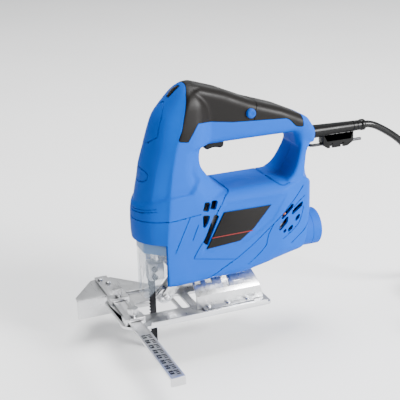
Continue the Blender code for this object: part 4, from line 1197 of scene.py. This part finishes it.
def build_cord():
    route = RUN_ROUTE + coil_points() + TAIL_ROUTE
    curve = bpy.data.curves.new("mains_lead", "CURVE")
    curve.dimensions = "3D"
    line = curve.splines.new("POLY")
    smooth = smooth_line(route, 3)
    line.points.add(len(smooth) - 1)
    for point, (x, y, z) in zip(line.points, smooth):
        point.co = (x * MM, y * MM, z * MM, 1)
    curve.bevel_depth = CORD_R * MM
    curve.bevel_resolution = 5
    curve.use_fill_caps = True
    lead = linked("mains_lead", curve)
    curve.materials.append(LOOKS["cord"])
    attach(lead, "housing")
    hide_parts("cord_run", "cord_tail", "cord_coil")
    plug = eased_node("plug_body", "housing", "black", 0.9, 25, 3)
    pins = [eased_node(name, "housing", "polished", 0.5)
            for name in ("plug_pin_left", "plug_pin_right")]
    tie = eased_node("cord_tie", "housing", "black", 0.8, 25, 3)


# ---- pieces inside

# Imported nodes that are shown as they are, by their looks.
SHOWN_NODES = {
    "iron": ("armature_core", "stator"),
    "polished": ("armature_shaft", "bearing_front", "bearing_rear", "drive_gear", "gear_axle"),
    "blade": ("blade",),
    "bronze": ("brush_holder_left", "brush_holder_right", "bush_lower", "bush_upper"),
    "carbon": ("brush_left", "brush_right"),
    "copper": ("commutator", "field_coil_front", "field_coil_rear"),
    "nylon": ("fan",),
    # The gear plate takes the darkened alloy, painted shade inside the housing.
    "alloy": ("gear_plate",),
    "black": ("switch_body",),
}


def paint_nodes():
    for name, nodes in SHOWN_NODES.items():
        for node in nodes:
            for material_slot in NODES[node].material_slots:
                material_slot.material = LOOKS[name]


# ---- studio, in metres

FLOOR_REACH = 6
WORLD_COLOUR = (0.97, 0.985, 1, 1)
# The surroundings are brighter on the side of -X: direction x to strength.
WORLD_FROM = (-0.8, 1.15)
WORLD_TO = (0.9, 0.08)


def add_floor():
    floor = bmesh.new()
    corners = [(-1, -1), (1, -1), (1, 1), (-1, 1)]
    floor.faces.new([floor.verts.new((x * FLOOR_REACH, y * FLOOR_REACH, REST_Z * MM)) for x, y in corners])
    ground = as_object("floor", floor)
    g = Graph("floor_paint")
    tone = g.spread(g.noise(3, 2), 0, 1)
    g.set(Base_Color=g.blend(tone, (0.9, 0.9, 0.9), (0.87, 0.87, 0.87)), Roughness=0.85)
    ground.data.materials.append(g.material)


def add_world():
    world = bpy.data.worlds.new("studio")
    bpy.context.scene.world = world
    world.use_nodes = True
    tree = world.node_tree
    background = tree.nodes["Background"]
    background.inputs["Color"].default_value = WORLD_COLOUR
    spot = tree.nodes.new("ShaderNodeTexCoord")
    split = tree.nodes.new("ShaderNodeSeparateXYZ")
    side = tree.nodes.new("ShaderNodeMapRange")
    side.inputs["From Min"].default_value, side.inputs["To Min"].default_value = WORLD_FROM
    side.inputs["From Max"].default_value, side.inputs["To Max"].default_value = WORLD_TO
    tree.links.new(spot.outputs["Generated"], split.inputs["Vector"])
    tree.links.new(split.outputs["X"], side.inputs["Value"])
    tree.links.new(side.outputs["Result"], background.inputs["Strength"])


def add_light(name, at, target, size, power):
    data = bpy.data.lights.new(name, "AREA")
    data.shape = "SQUARE"
    data.size = size
    data.energy = power
    light = linked(name, data)
    light.location = at
    light.rotation_euler = (Vector(target) - Vector(at)).to_track_quat("-Z", "Y").to_euler()


def add_studio():
    add_floor()
    add_world()
    add_light("key", (-1.35, 1.6, 0.95), (-0.02, 0, 0.09), 0.7, 140)
    add_light("top", (-0.2, -0.3, 2.2), (0, 0, 0), 1.2, 80)


def main():
    add_camera()
    make_looks()
    for build in (build_cord, build_housing, build_sole, build_guide, build_bevel_screw, build_blade_group,
                  build_port, build_labels, build_dial, build_controls, build_housing_screws,
                  build_relief, build_key_clip, paint_nodes):
        build()
    add_studio()


main()
